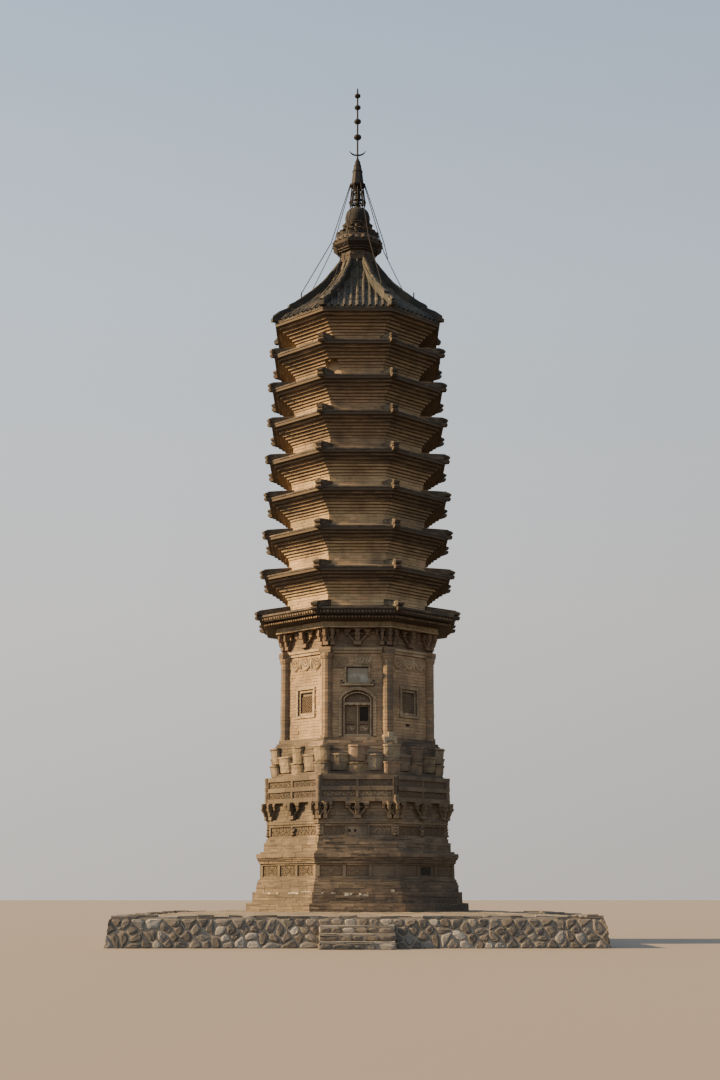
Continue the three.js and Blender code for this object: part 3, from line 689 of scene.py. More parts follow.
def frame_band(name, post, stile, rail, columns, slant_columns, lines):
    """A band's sunk panels, each (facet, x, face, z, width, height), and the cut bricks round them."""
    steps = levels(name)
    low, high, face = steps[0][0], steps[-1][0], steps[0][1] * CORNER
    run = 2 * face * MITRE - 2 * post
    height = (high - low - (lines + 1) * rail) / lines
    places, rows = [], []
    for facet in range(8):
        count = slant_columns if facet % 2 else columns
        width = (run - (count - 1) * stile) / count
        for column in range(count):
            x = -run / 2 + width / 2 + column * (width + stile)
            for line in range(lines):
                z = low + rail + height / 2 + line * (height + rail)
                places.append((facet, x, face, z, width, height))
    for line in range(lines + 1):
        z = low + line * (height + rail)
        course(rows, face, z, z + rail, long=0.34)
    for line in range(lines):
        z = low + rail + line * (height + rail)
        for facet in range(8):
            spans = sorted({(x - w / 2, x + w / 2) for f, x, _, _, w, _ in places if f == facet})
            course(rows, face, z, z + height, lambda facet: spans, facets=(facet,), long=0.5)
    return places, rows


def on_facet(facet, x, out, z, size=(1, 1, 1), roll=0.0, tip=0.0):
    """Where a copy stands: on a facet, or on the corner after it for a facet and a half."""
    place = Matrix.Rotation(facet * EIGHTH, 4, "Z") @ Matrix.Translation((x, -out, z))
    place = place @ Matrix.Rotation(roll, 4, "Y") @ Matrix.Rotation(tip, 4, "X")
    return place @ Matrix.Diagonal((*size, 1))


def set_copies(name, slot, finish, pattern, places, wear=0.0):
    """Copies of one modelled shape, each with its own place."""
    shape, faces = pattern
    flat = np.hstack([shape, np.ones((len(shape), 1))])
    points = np.array([(flat @ np.array(place).T)[:, :3] for place in places])
    if wear:
        points = points + bricks_random.normal(0, wear, points.shape)
    return copies(name, slot, finish, points, faces, bricks_random)


def tubes(name, strokes):
    """Round bars along lines of (x, y, z, radius)."""
    curve = bpy.data.curves.new(name, "CURVE")
    curve.dimensions = "3D"
    curve.bevel_depth, curve.bevel_resolution, curve.use_fill_caps = 1.0, 1, True
    for stroke in strokes:
        spline = curve.splines.new("POLY")
        spline.points.add(len(stroke) - 1)
        for point, (x, y, z, thick) in zip(spline.points, stroke):
            point.co, point.radius = (x, y, z, 1), thick
    add_object(name, curve)
    bpy.ops.object.convert(target="MESH")
    return bpy.context.object


def curl(x, z, size, start, turns, thick):
    """A spiral that winds in to (x, z) from the given angle, in turns of a circle."""
    line = []
    for i in range(13):
        t = i / 12
        angle = start + turns * math.tau * t
        reach = size * (1 - 0.82 * t)
        line.append((x + reach * math.cos(angle), 0, z + reach * math.sin(angle), thick * (1 - 0.35 * t)))
    return line


def vine(width, height, waves, thick):
    """Carved scrollwork: a waving stem with a curl in each hollow and small leaves between."""
    count = 8 * waves
    stem = []
    for i in range(count + 1):
        z = height * 0.26 * math.sin(math.tau * waves * i / count)
        stem.append(((i / count - 0.5) * width * 0.94, 0, z, thick))
    strokes = [stem]
    for i in range(4 * waves):
        x = ((i + 0.5) / (4 * waves) - 0.5) * width * 0.96
        for z in (-height, height):
            strokes.append([(x, 0, z * 0.33, thick * 0.5), (x + height * 0.05, 0, z * 0.45, thick * 0.9)])
    for wave in range(2 * waves):
        side = 1 if wave % 2 else -1
        x = ((wave + 0.5) / (2 * waves) - 0.5) * width * 0.94
        start, turns = side * math.pi * 0.5, side * 1.35
        strokes.append(curl(x, side * height * 0.06, height * 0.27, start, turns, thick * 0.8))
        x += width * 0.47 / (2 * waves)
        strokes.append([
            (x, 0, 0, thick * 0.9), (x + height * 0.1, 0, side * height * 0.22, thick * 1.1),
            (x + height * 0.02, 0, side * height * 0.4, thick * 0.5),
        ])
    return strokes


def rosette(x, z, size, petals, thick):
    """A carved flower seen from the front."""
    strokes = [[(x, 0.01, z, thick * 1.6), (x, -thick * 0.9, z, thick * 1.5)]]
    for i in range(petals):
        angle = math.tau * i / petals
        strokes.append([
            (x + r * size * math.cos(angle), 0, z + r * size * math.sin(angle), thick * wide)
            for r, wide in ((0.3, 0.5), (0.6, 1.25), (0.9, 1.2), (1.0, 0.5))
        ])
    return strokes


def carving(strokes):
    """Scrollwork as a pattern: flattened against its ground, and half sunk in it."""
    pattern, faces = pattern_of(tubes("carving", strokes))
    pattern[:, 1] *= 0.9
    return pattern, faces


lower_places, lower_rows = frame_band(
    "lower_panel_band", post=0.09, stile=0.077, rail=0.045, columns=3, slant_columns=3, lines=1
)
upper_places, upper_rows = frame_band(
    "upper_panel_band", post=0.11, stile=0.055, rail=0.055, columns=3, slant_columns=2, lines=1
)
rail_places, rail_rows = frame_band(
    "balustrade", post=0.09, stile=0.06, rail=0.108, columns=2, slant_columns=2, lines=2
)
set_blocks("band_frames", "carved_brick", base_carved, lower_rows + upper_rows + rail_rows)

*_, width, height = lower_places[0]
leafy = carving(rosette(0, 0, 0.055, 8, 0.011) + [
    [(x + side * width * 0.27, y, z + up * height * 0.22, r) for x, y, z, r in line]
    for side in (-1, 1) for up in (-1, 1) for line in vine(width * 0.4, height * 0.44, 1, 0.008)
])
UNCARVED = ((0, 2), (1, 0), (1, 1))  # facet and column of the two plain panels and the lost one
spots = [
    on_facet(facet, x, face - CARVING_SUNK, z)
    for i, (facet, x, face, z, _, _) in enumerate(lower_places) if (facet, i % 3) not in UNCARVED
]
set_copies("lower_panel_carving", "carved_brick", base_carved, leafy, spots, 0.001)
_, side_x, face, middle, width, height = lower_places[-1]
rows = [
    (turn, x, face - 0.012, middle - height / 2 + 0.005, width - 0.01, 0.05, height - 0.01)
    for turn, x in ((0, side_x), (EIGHTH, -side_x))
]
_, _, upper_face, upper_middle, wide, high = upper_places[1]
rows.append((0, 0, upper_face - 0.010, upper_middle - high / 2 + 0.006, wide - 0.012, 0.05, high - 0.012))
set_blocks("plain_panels", "carved_brick", base_carved, rows)

# Painted shade: a near-black finish put in the holes, slots and recesses, where there is only shade.
dark, paint = new_finish("dark_hole")
colour = paint.blend(paint.grain(20, 4), (0.012, 0.010, 0.008), (0.05, 0.04, 0.03))
paint.surface(colour, 1.0, paint.grain(20, 4), 0.02)
size = (width * 0.62, 0.03, height - 0.07)
rows = [(EIGHTH, -0.02, face - PANEL_SUNK + 0.006, middle - height / 2 + 0.03, *size)]
rows += [(0, x, upper_face - 0.004, upper_middle - 0.03, 0.06, 0.03, 0.06) for x in (-0.19, -0.05)]
set_blocks("base_holes", "carved_brick", dark, rows)

scrolls, spots = {}, {}
for facet, x, face, z, width, height in upper_places:
    kind = round(width, 2)
    if kind not in scrolls:
        scrolls[kind] = carving(vine(width * 0.98, height * 0.96, 3 if width > 0.6 else 2, 0.013))
        spots[kind] = []
    if (facet, round(x, 1)) != (0, 0.0):
        spots[kind].append(on_facet(facet, x, face - CARVING_SUNK, z, (-1 if x > 0.1 else 1, 1, 1)))
parts = [
    set_copies("upper_panel_carving", None, base_carved, scrolls[kind], spots[kind], 0.001)
    for kind in scrolls
]
finish_piece(join(parts, "upper_panel_carving"), "carved_brick")

# A stout little figure stands between the upper panels of the slanting facets, made of a head, a body,
# a base and two arms, and a turned post on every corner.
SQUARE_ON, SLANTING = (0, 2, 4, 6), (1, 3, 5, 7)
FIGURE = (  # height, width, depth and height of each part
    (-0.075, 0.15, 0.11, 0.09), (0.0, 0.12, 0.1, 0.12), (0.08, 0.075, 0.09, 0.08),
)
POST = ((-0.09, 0.16, 0.07), (-0.02, 0.11, 0.12), (0.06, 0.13, 0.07), (0.12, 0.1, 0.06))
bpy.ops.mesh.primitive_uv_sphere_add(segments=10, ring_count=6, radius=0.5)
ball = pattern_of(bpy.context.object)
spots = []
for facet in SLANTING:
    for z, wide, deep, high in FIGURE:
        spots.append(on_facet(facet, 0, upper_face + 0.005, upper_middle + z, (wide, deep, high)))
    for side in (-1, 1):
        place = (side * 0.065, upper_face + 0.01, upper_middle + 0.03)
        spots.append(on_facet(facet, *place, (0.05, 0.07, 0.1), side * 0.5))
for corner in range(8):
    for z, wide, high in POST:
        place = (0, upper_face / CORNER - 0.02, upper_middle + z)
        spots.append(on_facet(corner + 0.5, *place, (wide, wide, high)))
set_copies("panel_posts", "carved_brick", base_carved, ball, spots, 0.002)

# Bracket sets of the base and of the first eave
# Bricks cut like timber brackets. A bearing block carries arms to either side and one to the front, each
# with an end block. A beam lies on them all, and the walls behind are plain courses.
def shaped_block(middle, size, axis, shrink, lift, wear, segments=1, roll=0.0):
    """A worn block, of which the end that faces down an axis is made smaller and lifted."""
    bpy.ops.mesh.primitive_cube_add(size=1, location=middle, rotation=(0, roll, 0))
    block = bpy.context.object
    block.scale = size
    bpy.ops.object.transform_apply(location=True, rotation=True, scale=True)
    bpy.ops.object.mode_set(mode="EDIT")
    select_faces(lambda normal: normal[axis] < -0.6)
    bpy.ops.transform.resize(value=shrink)
    bpy.ops.transform.translate(value=(0, 0, lift))
    bpy.ops.mesh.select_all(action="SELECT")
    bpy.ops.mesh.bevel(offset=wear, segments=segments, affect="EDGES")
    bpy.ops.object.mode_set(mode="OBJECT")
    return block


def bracket_pattern():
    """One set, 0.4 m high: its back is on y = 0 and its foot on z = 0."""
    bpy.ops.mesh.primitive_cube_add(size=1, location=(0, -0.05, 0.05))
    bpy.context.object.scale = (0.17, 0.16, 0.09)
    bpy.ops.object.transform_apply(location=True, scale=True)
    parts = [bpy.context.object]

    def block(middle, size, taper, roll=0.0):
        shrink = (taper, taper, 1)
        parts.append(shaped_block(middle, size, axis=2, shrink=shrink, lift=0, wear=0.005, roll=roll))

    for side in (-1, 1):
        block((side * 0.075, -0.045, 0.115), (0.13, 0.10, 0.055), 0.85, -side * 0.65)
        block((side * 0.15, -0.045, 0.19), (0.12, 0.10, 0.050), 0.85, -side * 0.8)
        block((side * 0.215, -0.055, 0.262), (0.10, 0.14, 0.060), 0.65)
        block((side * 0.20, -0.05, 0.300), (0.060, 0.10, 0.03), 0.8)
        block((side * 0.095, -0.03, 0.262), (0.055, 0.08, 0.05), 0.8)
        block((side * 0.21, -0.065, 0.335), (0.14, 0.15, 0.06), 0.8)
    block((0, -0.10, 0.15), (0.12, 0.17, 0.11), 0.6)
    block((0, -0.05, 0.24), (0.085, 0.11, 0.16), 0.9)
    block((0, -0.15, 0.245), (0.13, 0.16, 0.08), 0.7)
    block((0, -0.12, 0.325), (0.10, 0.20, 0.075), 0.85)
    block((0, -0.055, 0.378), (0.56, 0.12, 0.045), 0.97)
    block((0, -0.14, 0.375), (0.15, 0.15, 0.05), 0.8)
    return pattern_of(join(parts, "bracket"))


def heights(name):
    """A node's lowest and highest level."""
    return [corner.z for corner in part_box(name)]


def octagon(radius, low, high):
    """A plain eight-sided body behind the courses, with its corners where the tower's are."""
    bpy.ops.mesh.primitive_cylinder_add(
        vertices=8, radius=radius, depth=high - low, location=(0, 0, (low + high) / 2),
        rotation=(0, 0, EIGHTH / 2),
    )
    bpy.ops.object.transform_apply(location=True, rotation=True)
    body = bpy.context.object
    body.data.materials.append(hearting)
    return body


bracket = bracket_pattern()
BRACKET_HIGH = 0.395
STOREY_RADIUS = 1.945
# The first eave's sets and the courses behind them take the dark brick: painted shade under the eave.
BRACKET_RINGS = (  # node, corner radius, foot, radius of the ledge below, width of a set, finish
    ("base_brackets", 2.340, FOOT + 2.195, 2.415, 1.02, base_carved),
    ("eave_1_brackets", STOREY_RADIUS, FOOT + 6.430, STOREY_RADIUS + 0.04, 1.16, smoked_brick),
)
for name, radius, foot, ledge, broad, finish in BRACKET_RINGS:
    low, top = heights(name)
    parts = [octagon(radius - 0.004, foot, top)]
    rows = []
    if low < foot - 0.01:
        parts.append(octagon(ledge - 0.004, low, foot))
        wall_courses(rows, ledge * CORNER, low, foot)
    finish_piece(join(parts, name + "_core"), "carved_brick", name)
    face = radius * CORNER
    wall_courses(rows, face, foot, top)
    courses = set_blocks(name + "_courses", None, finish, rows)
    stretch = (top - foot) / BRACKET_HIGH
    spots = [on_facet(i, 0, face, foot, (broad, 1, stretch)) for i in range(8)]
    for i in range(8):
        spots.append(on_facet(i + 0.5, 0, radius - 0.02, foot, (0.8, 1.1, stretch)))
        for facet, side in ((i, 1), (i + 1, -1)):
            spots.append(on_facet(facet, side * (face * MITRE - 0.13), face, foot, (0.6, 0.9, stretch)))
    sets = set_copies(name + "_sets", None, finish, bracket, spots, 0.0015)
    finish_piece(join([courses, sets], name + "_sets"), "carved_brick")

# Balustrade
# Two rows of two panels on every facet, each with its own run of scrolls, and a round post at every
# corner. The front facet's lower row is paler, and the next facet has lost its upper row's carving.
*_, width, height = rail_places[0]
rail_scroll = carving(vine(width * 0.98, height * 0.96, waves=4, thick=0.010))
spots, pale_spots = [], []
for facet, x, face, z, _, _ in rail_places:
    lower_row = z < FOOT + 2.85
    if lower_row or facet != 1:
        group = pale_spots if lower_row and facet == 0 else spots
        group.append(on_facet(facet, x, face - CARVING_SUNK, z, (-1 if x > 0 else 1, 1, 1)))
parts = [
    set_copies("balustrade_carving", None, base_carved, rail_scroll, spots, 0.0012),
    set_copies("pale_carving", None, carved, rail_scroll, pale_spots, 0.0012),
]
finish_piece(join(parts, "balustrade_carving"), "carved_brick")


def round_block(lean, test, rim, rise):
    """A round block 1 m wide and long. The ends that pass the test are raised or sunk inside a rim."""
    bpy.ops.mesh.primitive_cylinder_add(vertices=12, radius=0.5, depth=1, rotation=(lean, 0, 0))
    bpy.ops.object.transform_apply(rotation=True)
    bpy.ops.object.mode_set(mode="EDIT")
    select_faces(test)
    bpy.ops.mesh.inset(thickness=rim, depth=rise, use_individual=True)
    bpy.ops.object.mode_set(mode="OBJECT")
    return pattern_of(bpy.context.object)


drum = round_block(0, lambda normal: abs(normal.z) > 0.9, rim=0.06, rise=0.04)
LOST_POST = 0  # the corner, to the right of the front, whose post has gone
POST_DRUMS = 8
rail_low, rail_high = heights("balustrade")
each = (rail_high - rail_low) / POST_DRUMS
out = rail_places[0][2] / CORNER - 0.03
spots = []
for corner in range(8):
    for i in range(2 if corner == LOST_POST else POST_DRUMS):
        wide = (0.13, 0.115, 0.12, 0.11)[i % 4] + (0.02 if i == POST_DRUMS - 1 else 0)
        z = rail_low + (i + 0.5) * each
        spots.append(on_facet(corner + 0.5, 0, out, z, (wide, wide, each - 0.004)))
set_copies("balustrade_posts", "carved_brick", base_carved, drum, spots, 0.001)
rows = [((LOST_POST + 0.5) * EIGHTH, 0, out + 0.028, rail_low + 0.165, 0.11, 0.05, 0.43)]
set_blocks("lost_post_slot", "carved_brick", dark, rows)

# Lotus band
# Brick petals set like a chequerboard, each like a bucket cut in half: a full foot, nearly upright sides
# with faint grooves, and a thin lip that stands out. Each is one moulded brick. Some lips are lost on the
# real band, but every petal here keeps its lip.
lotus = brick_finish("lotus_brick", [
    (0.0, (0.25, 0.192, 0.125)), (0.2, (0.37, 0.252, 0.162)), (0.4, (0.42, 0.305, 0.168)),
    (0.6, (0.29, 0.240, 0.165)), (0.8, (0.46, 0.345, 0.185)), (1.0, (0.50, 0.390, 0.245)),
], dirt=0.9, lee=0.22, worn=0.4)


def petal_pattern():
    """A petal 1 wide and 1 high. Its back is on y = 0 and it leans out towards -y."""
    bpy.ops.mesh.primitive_circle_add(vertices=16, radius=0.5, fill_type="NGON")
    petal = bpy.context.object
    bpy.ops.object.mode_set(mode="EDIT")
    bpy.ops.mesh.select_all(action="SELECT")
    bpy.ops.transform.resize(value=(0.86, 0.66, 1))
    for up, wide, deep in ((0.12, 1.05, 1.1), (0.26, 1.03, 1.06), (0.26, 1.015, 1.04), (0.24, 1.01, 1.03)):
        bpy.ops.mesh.extrude_region_move(TRANSFORM_OT_translate={"value": (0, -0.035 * up / 0.3, up)})
        bpy.ops.transform.resize(value=(wide, deep, 1))
    bpy.ops.mesh.extrude_region_move(TRANSFORM_OT_translate={"value": (0, -0.01, 0.02)})
    bpy.ops.transform.resize(value=(1.09, 1.16, 1))
    bpy.ops.mesh.extrude_region_move(TRANSFORM_OT_translate={"value": (0, 0, 0.10)})
    bpy.ops.mesh.inset(thickness=0.07, depth=0)
    bpy.ops.transform.translate(value=(0, 0, -0.10))
    bpy.ops.mesh.select_all(action="SELECT")
    bpy.ops.mesh.normals_make_consistent(inside=False)
    bpy.ops.object.mode_set(mode="OBJECT")
    for vertex in petal.data.vertices:
        groove = 1 + 0.02 * math.cos(8 * math.atan2(vertex.co.y + 0.2 * vertex.co.z, vertex.co.x))
        vertex.co.x *= groove
        vertex.co.y *= groove
    return pattern_of(petal)


petal_shape = petal_pattern()
lotus_low, lotus_high = heights("lotus_band")
LOTUS_CORE, LOTUS_LIP = 2.215, 2.325
core = octagon(LOTUS_CORE - 0.006, lotus_low, lotus_high)
rows = []
wall_courses(rows, LOTUS_CORE * CORNER, lotus_low + 0.11, lotus_high)
for i, reach in enumerate((2.30, 2.265)):
    course(rows, reach * CORNER, lotus_low + 0.05 * i, lotus_low + 0.05 * (i + 1))
courses = set_blocks("lotus_courses", None, base_brick, rows)
finish_piece(join([core, courses], "lotus_core"), "lotus_brick", "lotus_band")
PETAL_PITCH = 2 * LOTUS_LIP * math.sin(EIGHTH / 2) / 4
PETAL_WIDE, PETAL_DEEP = 0.465, 0.27
TALL_PETALS, SHORT_PETAL = ((3.965, 4.286), (4.290, 4.700)), (4.068, 4.475)  # foot and lip of each
spots = []
for half_facet in range(16):
    out = LOTUS_LIP - 0.135 if half_facet % 2 else LOTUS_LIP * CORNER - 0.115
    ups = [(0, *petal) for petal in TALL_PETALS]
    if half_facet % 2 == 0:
        ups += [(side * PETAL_PITCH, *SHORT_PETAL) for side in (-1, 1)]
    for x, foot, lip in ups:
        wide = PETAL_WIDE * bricks_random.uniform(0.95, 1.0)
        high = (lip - foot) * bricks_random.uniform(0.95, 1.01) - 0.01
        place = (x, out + bricks_random.uniform(-0.02, 0.0), foot + 0.005)
        leans = bricks_random.normal(0, 0.015, 2)
        spots.append(on_facet(half_facet / 2, *place, (wide, PETAL_DEEP, high), *leans))
set_copies("lotus_petals", "lotus_brick", lotus, petal_shape, spots, 0.003)

# First storey wall
# Plain courses, with the false doors and tablets on four facets and the false windows on the others.
DOOR_HALF, DOOR_SILL, DOOR_SPRING, DOOR_CROWN = 0.462, 4.92, 5.85, 6.12
WINDOW_HALF, WINDOW_LOW, WINDOW_HIGH = 0.33, 5.41, 6.17
TABLET_HALF, TABLET_LOW, TABLET_HIGH = 0.32, 6.16, 6.67


def openings(facet, z):
    """Where the courses stop for a door, tablet or window."""
    half = 0
    if facet % 2:
        half = WINDOW_HALF if WINDOW_LOW < z < WINDOW_HIGH else 0
    elif DOOR_SILL < z < DOOR_SPRING:
        half = DOOR_HALF
    elif DOOR_SPRING <= z < DOOR_CROWN:
        up = (z - DOOR_SPRING) / (DOOR_CROWN - DOOR_SPRING)
        half = DOOR_HALF * math.sqrt(1 - up ** 2) + 0.01
    elif TABLET_LOW - 0.02 < z < TABLET_LOW + 0.14:
        half = TABLET_HALF + 0.09
    elif TABLET_LOW <= z < TABLET_HIGH:
        half = TABLET_HALF
    return [(-half, half)] if half else []


storey_low, storey_high = heights("storey_wall")
storey_face = STOREY_RADIUS * CORNER
rows = []
wall_courses(rows, storey_face, storey_low, storey_high, openings)
set_blocks("storey_bricks", "brick", storey_brick, rows)

# A putlog hole, left open by the builders, under a window.
set_blocks("putlog_hole", "brick", dark, [(EIGHTH, -0.05, storey_face + 0.012, 5.20, 0.14, 0.03, 0.07)])

# Corner columns
# Round columns of special curved bricks, redder than the walls, with a plain block cap.
column_brick = brick_finish("column_brick", [
    (0.0, (0.28, 0.182, 0.102)), (0.5, (0.32, 0.210, 0.118)), (1.0, (0.37, 0.246, 0.140)),
], dirt=0.6)
DRUM = 0.085
COLUMN_RADIUS = 0.130
column_low, column_high = heights("column_1")
neck = column_high - 0.13
count = round((neck - column_low) / DRUM)
each = (neck - column_low) / count
blocks = ((neck + 0.02, 0.31, 0.045), (neck + 0.085, 0.335, 0.08), (column_low + 0.03, 0.32, 0.06))
spots = []
for corner in range(8):
    for i in range(count):
        wide = 2 * COLUMN_RADIUS + 0.006 + bricks_random.normal(0, 0.006)
        z = column_low + (i + 0.5) * each
        spots.append(on_facet(corner + 0.5, 0, STOREY_RADIUS, z, (wide, wide, each - 0.012)))
    for z, wide, high in blocks:
        spots.append(on_facet(corner + 0.5, 0, STOREY_RADIUS, z, (wide, wide, high)))
set_copies("column_drums", "column_brick", column_brick, drum, spots, 0.0008)

# A pale broken block leans against the foot of the column to the right of the front door.
lime_block = brick_finish("lime_block", [
    (0.0, (0.38, 0.300, 0.180)), (1.0, (0.47, 0.380, 0.235)),
], dirt=0.3)
rows = [
    (EIGHTH / 2, x, STOREY_RADIUS + 0.20, 4.69, wide, 0.16, high)
    for x, wide, high in ((-0.12, 0.11, 0.20), (-0.01, 0.11, 0.31), (0.10, 0.10, 0.22))
]
set_blocks("broken_block", "carved_brick", lime_block, rows, worn_block, 0.008)

# False doors
# A stepped arch of cut bricks round a frame and two leaves. The left leaf still has its lattice and
# the right one has lost it. A carved panel closes the foot of each leaf.
VOUSSOIR = 0.068


def arch(facet, half, crown, ring, front, deep):
    """Wedge bricks along a segmental head and plain ones down its jambs: their places on a facet."""
    rise = crown - DOOR_SPRING
    radius = (half * half + rise * rise) / (2 * rise)
    reach = math.asin(half / radius)
    count = round(2 * reach * radius / VOUSSOIR)
    out = radius - ring / 2
    size = ((2 * reach * out / count - 0.006) / LONG, deep / DEEP, ring / HIGH)
    spots = []
    for i in range(count):
        angle = -reach + (i + 0.5) * 2 * reach / count
        z = crown - radius + out * math.cos(angle)
        spots.append(on_facet(facet, out * math.sin(angle), front, z, size, angle))
    count = round((DOOR_SPRING - DOOR_SILL) / COURSE)
    each = (DOOR_SPRING - DOOR_SILL) / count
    size = (ring / LONG, deep / DEEP, (each - 0.006) / HIGH)
    for i in range(count):
        for side in (-1, 1):
            z = DOOR_SILL + (i + 0.5) * each
            spots.append(on_facet(facet, side * (half - ring / 2), front, z, size))
    return spots


spots, soffits = [], []
for facet in SQUARE_ON:
    spots += arch(facet, DOOR_HALF, DOOR_CROWN, ring=0.036, front=storey_face + 0.054, deep=0.08)
    half, crown = DOOR_HALF - 0.122, DOOR_CROWN - 0.118
    spots += arch(facet, half, crown, ring=0.028, front=storey_face + 0.018, deep=0.05)
    half, crown = DOOR_HALF - 0.038, DOOR_CROWN - 0.038
    soffits += arch(facet, half, crown, ring=0.036, front=storey_face + 0.047, deep=0.05)
# The doors' recessed grounds are painted in shade with the dark brick.
dress(smoked_brick, "door_front", "door_right", "door_back", "door_left")
set_copies("door_soffits", "carved_brick", storey_brick, worn_block, soffits, 0.0012)
set_copies("door_arches", "carved_brick", carved, worn_block, spots, 0.0012)


def lattice(half, high, pitch, thick):
    """Crossed bars in a rectangle that stands on z = 0."""
    strokes = []
    reach = int((2 * half + high) / pitch) + 1
    for k in range(-reach, reach + 1):
        for side in (-1, 1):
            line = [(x, 0, k * pitch + side * (x + half), thick) for x in np.linspace(-half, half, 41)]
            line = [point for point in line if 0 <= point[2] <= high]
            if len(line) > 1:
                strokes.append([line[0], line[-1]])
    return strokes


LEAF = 0.159  # the middle of a leaf
LEAF_LOW, LEAF_HIGH = DOOR_SILL + 0.05, 4.96 + FOOT
door_lattice = carving(lattice(half=0.105, high=0.35, pitch=0.058, thick=0.009))
leaf_panel = carving(vine(0.2, 0.17, waves=1, thick=0.012))
scroll = vine(0.17, 0.12, waves=1, thick=0.008)
door_head = carving([[(x + 0.13, y, z - 0.01, r) for x, y, z, r in line] for line in scroll])
recess = storey_face - 0.06
lattices, panels, heads, frames, holes = [], [], [], [], []
for facet in SQUARE_ON:
    lattices.append(on_facet(facet, -LEAF, recess - 0.012, DOOR_SILL + 0.37))
    panels += [on_facet(facet, side * LEAF, recess - 0.026, DOOR_SILL + 0.205) for side in (-1, 1)]
    heads.append(on_facet(facet, 0, recess + 0.004, 5.86))
    turn = facet * EIGHTH
    out = recess + 0.05
    stile = (out, DOOR_SILL + 0.055, 0.045, 0.07, LEAF_HIGH - DOOR_SILL - 0.057)
    frames += [
        (turn, 0, out, LEAF_HIGH, 0.70, 0.07, 0.06), (turn, 0, out - 0.01, DOOR_SILL, 0.70, 0.07, 0.055),
        (turn, -0.335, *stile), (turn, 0.335, *stile),
        (turn, 0, out - 0.03, LEAF_LOW, 0.022, 0.05, LEAF_HIGH - LEAF_LOW),
    ]
    for x in (-0.24, -0.08, 0.08, 0.24):
        frames.append((turn, x, out + 0.028, LEAF_HIGH + 0.012, 0.05, 0.05, 0.04))
    holes.append((turn, LEAF, recess - 0.024, DOOR_SILL + 0.375, 0.2, 0.02, 0.34))
set_copies("door_lattices", "carved_brick", carved, door_lattice, lattices)
set_copies("door_panels", "carved_brick", carved, leaf_panel, panels)
set_copies("door_heads", "carved_brick", carved, door_head, heads)
set_blocks("door_frames", "carved_brick", carved, frames, worn_block)
set_blocks("door_shadows", "carved_brick", dark, holes)

# False windows
# A square frame of moulded bricks, with a smaller one inside it, round a field of small crossed bars.
window_grid = carving(lattice(half=0.21, high=0.42, pitch=0.066, thick=0.0095))
WINDOW_FRAMES = (  # front, half width, foot, height and thickness of each
    (storey_face + 0.034, WINDOW_HALF, WINDOW_LOW, WINDOW_HIGH - WINDOW_LOW, 0.058),
    (storey_face - 0.006, WINDOW_HALF - 0.062, WINDOW_LOW + 0.068, WINDOW_HIGH - WINDOW_LOW - 0.136, 0.055),
)
spots, rows, holes = [], [], []
for facet in SLANTING:
    turn = facet * EIGHTH
    spots.append(on_facet(facet, 0, storey_face - 0.045, WINDOW_LOW + 0.13))
    for front, half, low, high, thick in WINDOW_FRAMES:
        wide, tall = 2 * half / 4, (high - 2 * thick) / 6
        for z in (low, low + high - thick):
            for i in range(4):
                rows.append((turn, -half + (i + 0.5) * wide, front, z, wide - 0.005, 0.07, thick))
        for x in (thick / 2 - half, half - thick / 2):
            for i in range(6):
                rows.append((turn, x, front, low + thick + i * tall, thick, 0.07, tall - 0.005))
    holes.append((turn, 0, storey_face - 0.058, WINDOW_LOW + 0.13, 0.42, 0.02, 0.42))
# The lattices take the dark brick: painted shade in the windows' recesses.
set_copies("window_lattices", "carved_brick", smoked_brick, window_grid, spots)
set_blocks("window_frames", "carved_brick", carved, rows, worn_block)
set_blocks("window_shadows", "carved_brick", dark, holes)

# Tablets
# A blank slab of grey stone over each door, in a brick frame that stands on a sill with a small
# carved cloud at each end.
tablet_stone, paint = new_finish("tablet_stone")
stain = paint.grain(4, 5)
colour = paint.blend(stain, (0.24, 0.192, 0.135), (0.39, 0.322, 0.225))
lime = paint.grain(7, 5).step(0.46, 0.62) * (1 - paint.at("Z").step(6.38, 6.50))
colour = paint.blend(lime * 0.8, colour, (0.50, 0.44, 0.345))
colour = paint.blend(paint.grain(60, 3).step(0.55, 0.7) * 0.5, colour, (0.13, 0.125, 0.11))
paint.surface(colour, 0.8, stain * 0.6 + paint.grain(60, 3) * 0.4, 0.004)
# The tablet nodes round the stone are painted in shade, for its deep recess.
dress(dark, "tablet_front", "tablet_right", "tablet_back", "tablet_left")
TABLET_FRAME = (  # low, half width and height of the head, the foot and the sill, and how far each is out
    (TABLET_HIGH - 0.05, TABLET_HALF, 0.05, 0), (TABLET_LOW + 0.042, TABLET_HALF, 0.03, 0),
    (TABLET_LOW - 0.008, TABLET_HALF + 0.085, 0.048, 0.028),
)
tall = (TABLET_HIGH - 0.05 - TABLET_LOW - 0.045) / 3
front = storey_face + 0.04
slabs, rows, clouds = [], [], []
for facet in SQUARE_ON:
    turn = facet * EIGHTH
    slabs.append((turn, 0.017, storey_face - 0.004, TABLET_LOW + 0.062, 0.525, 0.05, 0.372))
    for z, half, high, out in TABLET_FRAME:
        wide = 2 * half / 3
        for i in range(3):
            rows.append((turn, -half + (i + 0.5) * wide, front + out, z, wide - 0.005, 0.08, high))
    for side in (-1, 1):
        x = side * (TABLET_HALF - 0.025)
        for i in range(3):
            rows.append((turn, x, front, TABLET_LOW + 0.045 + i * tall, 0.05, 0.08, tall - 0.005))
        for i in range(3):
            x, z = side * (TABLET_HALF + 0.012 + 0.03 * i), TABLET_LOW + 0.115 - 0.025 * i
            clouds.append(on_facet(facet, x, storey_face + 0.02, z, (0.06, 0.09, 0.09 - 0.02 * i)))
set_blocks("tablet_slabs", "tablet_stone", tablet_stone, slabs, worn_block)
set_blocks("tablet_frames", "carved_brick", carved, rows, worn_block)
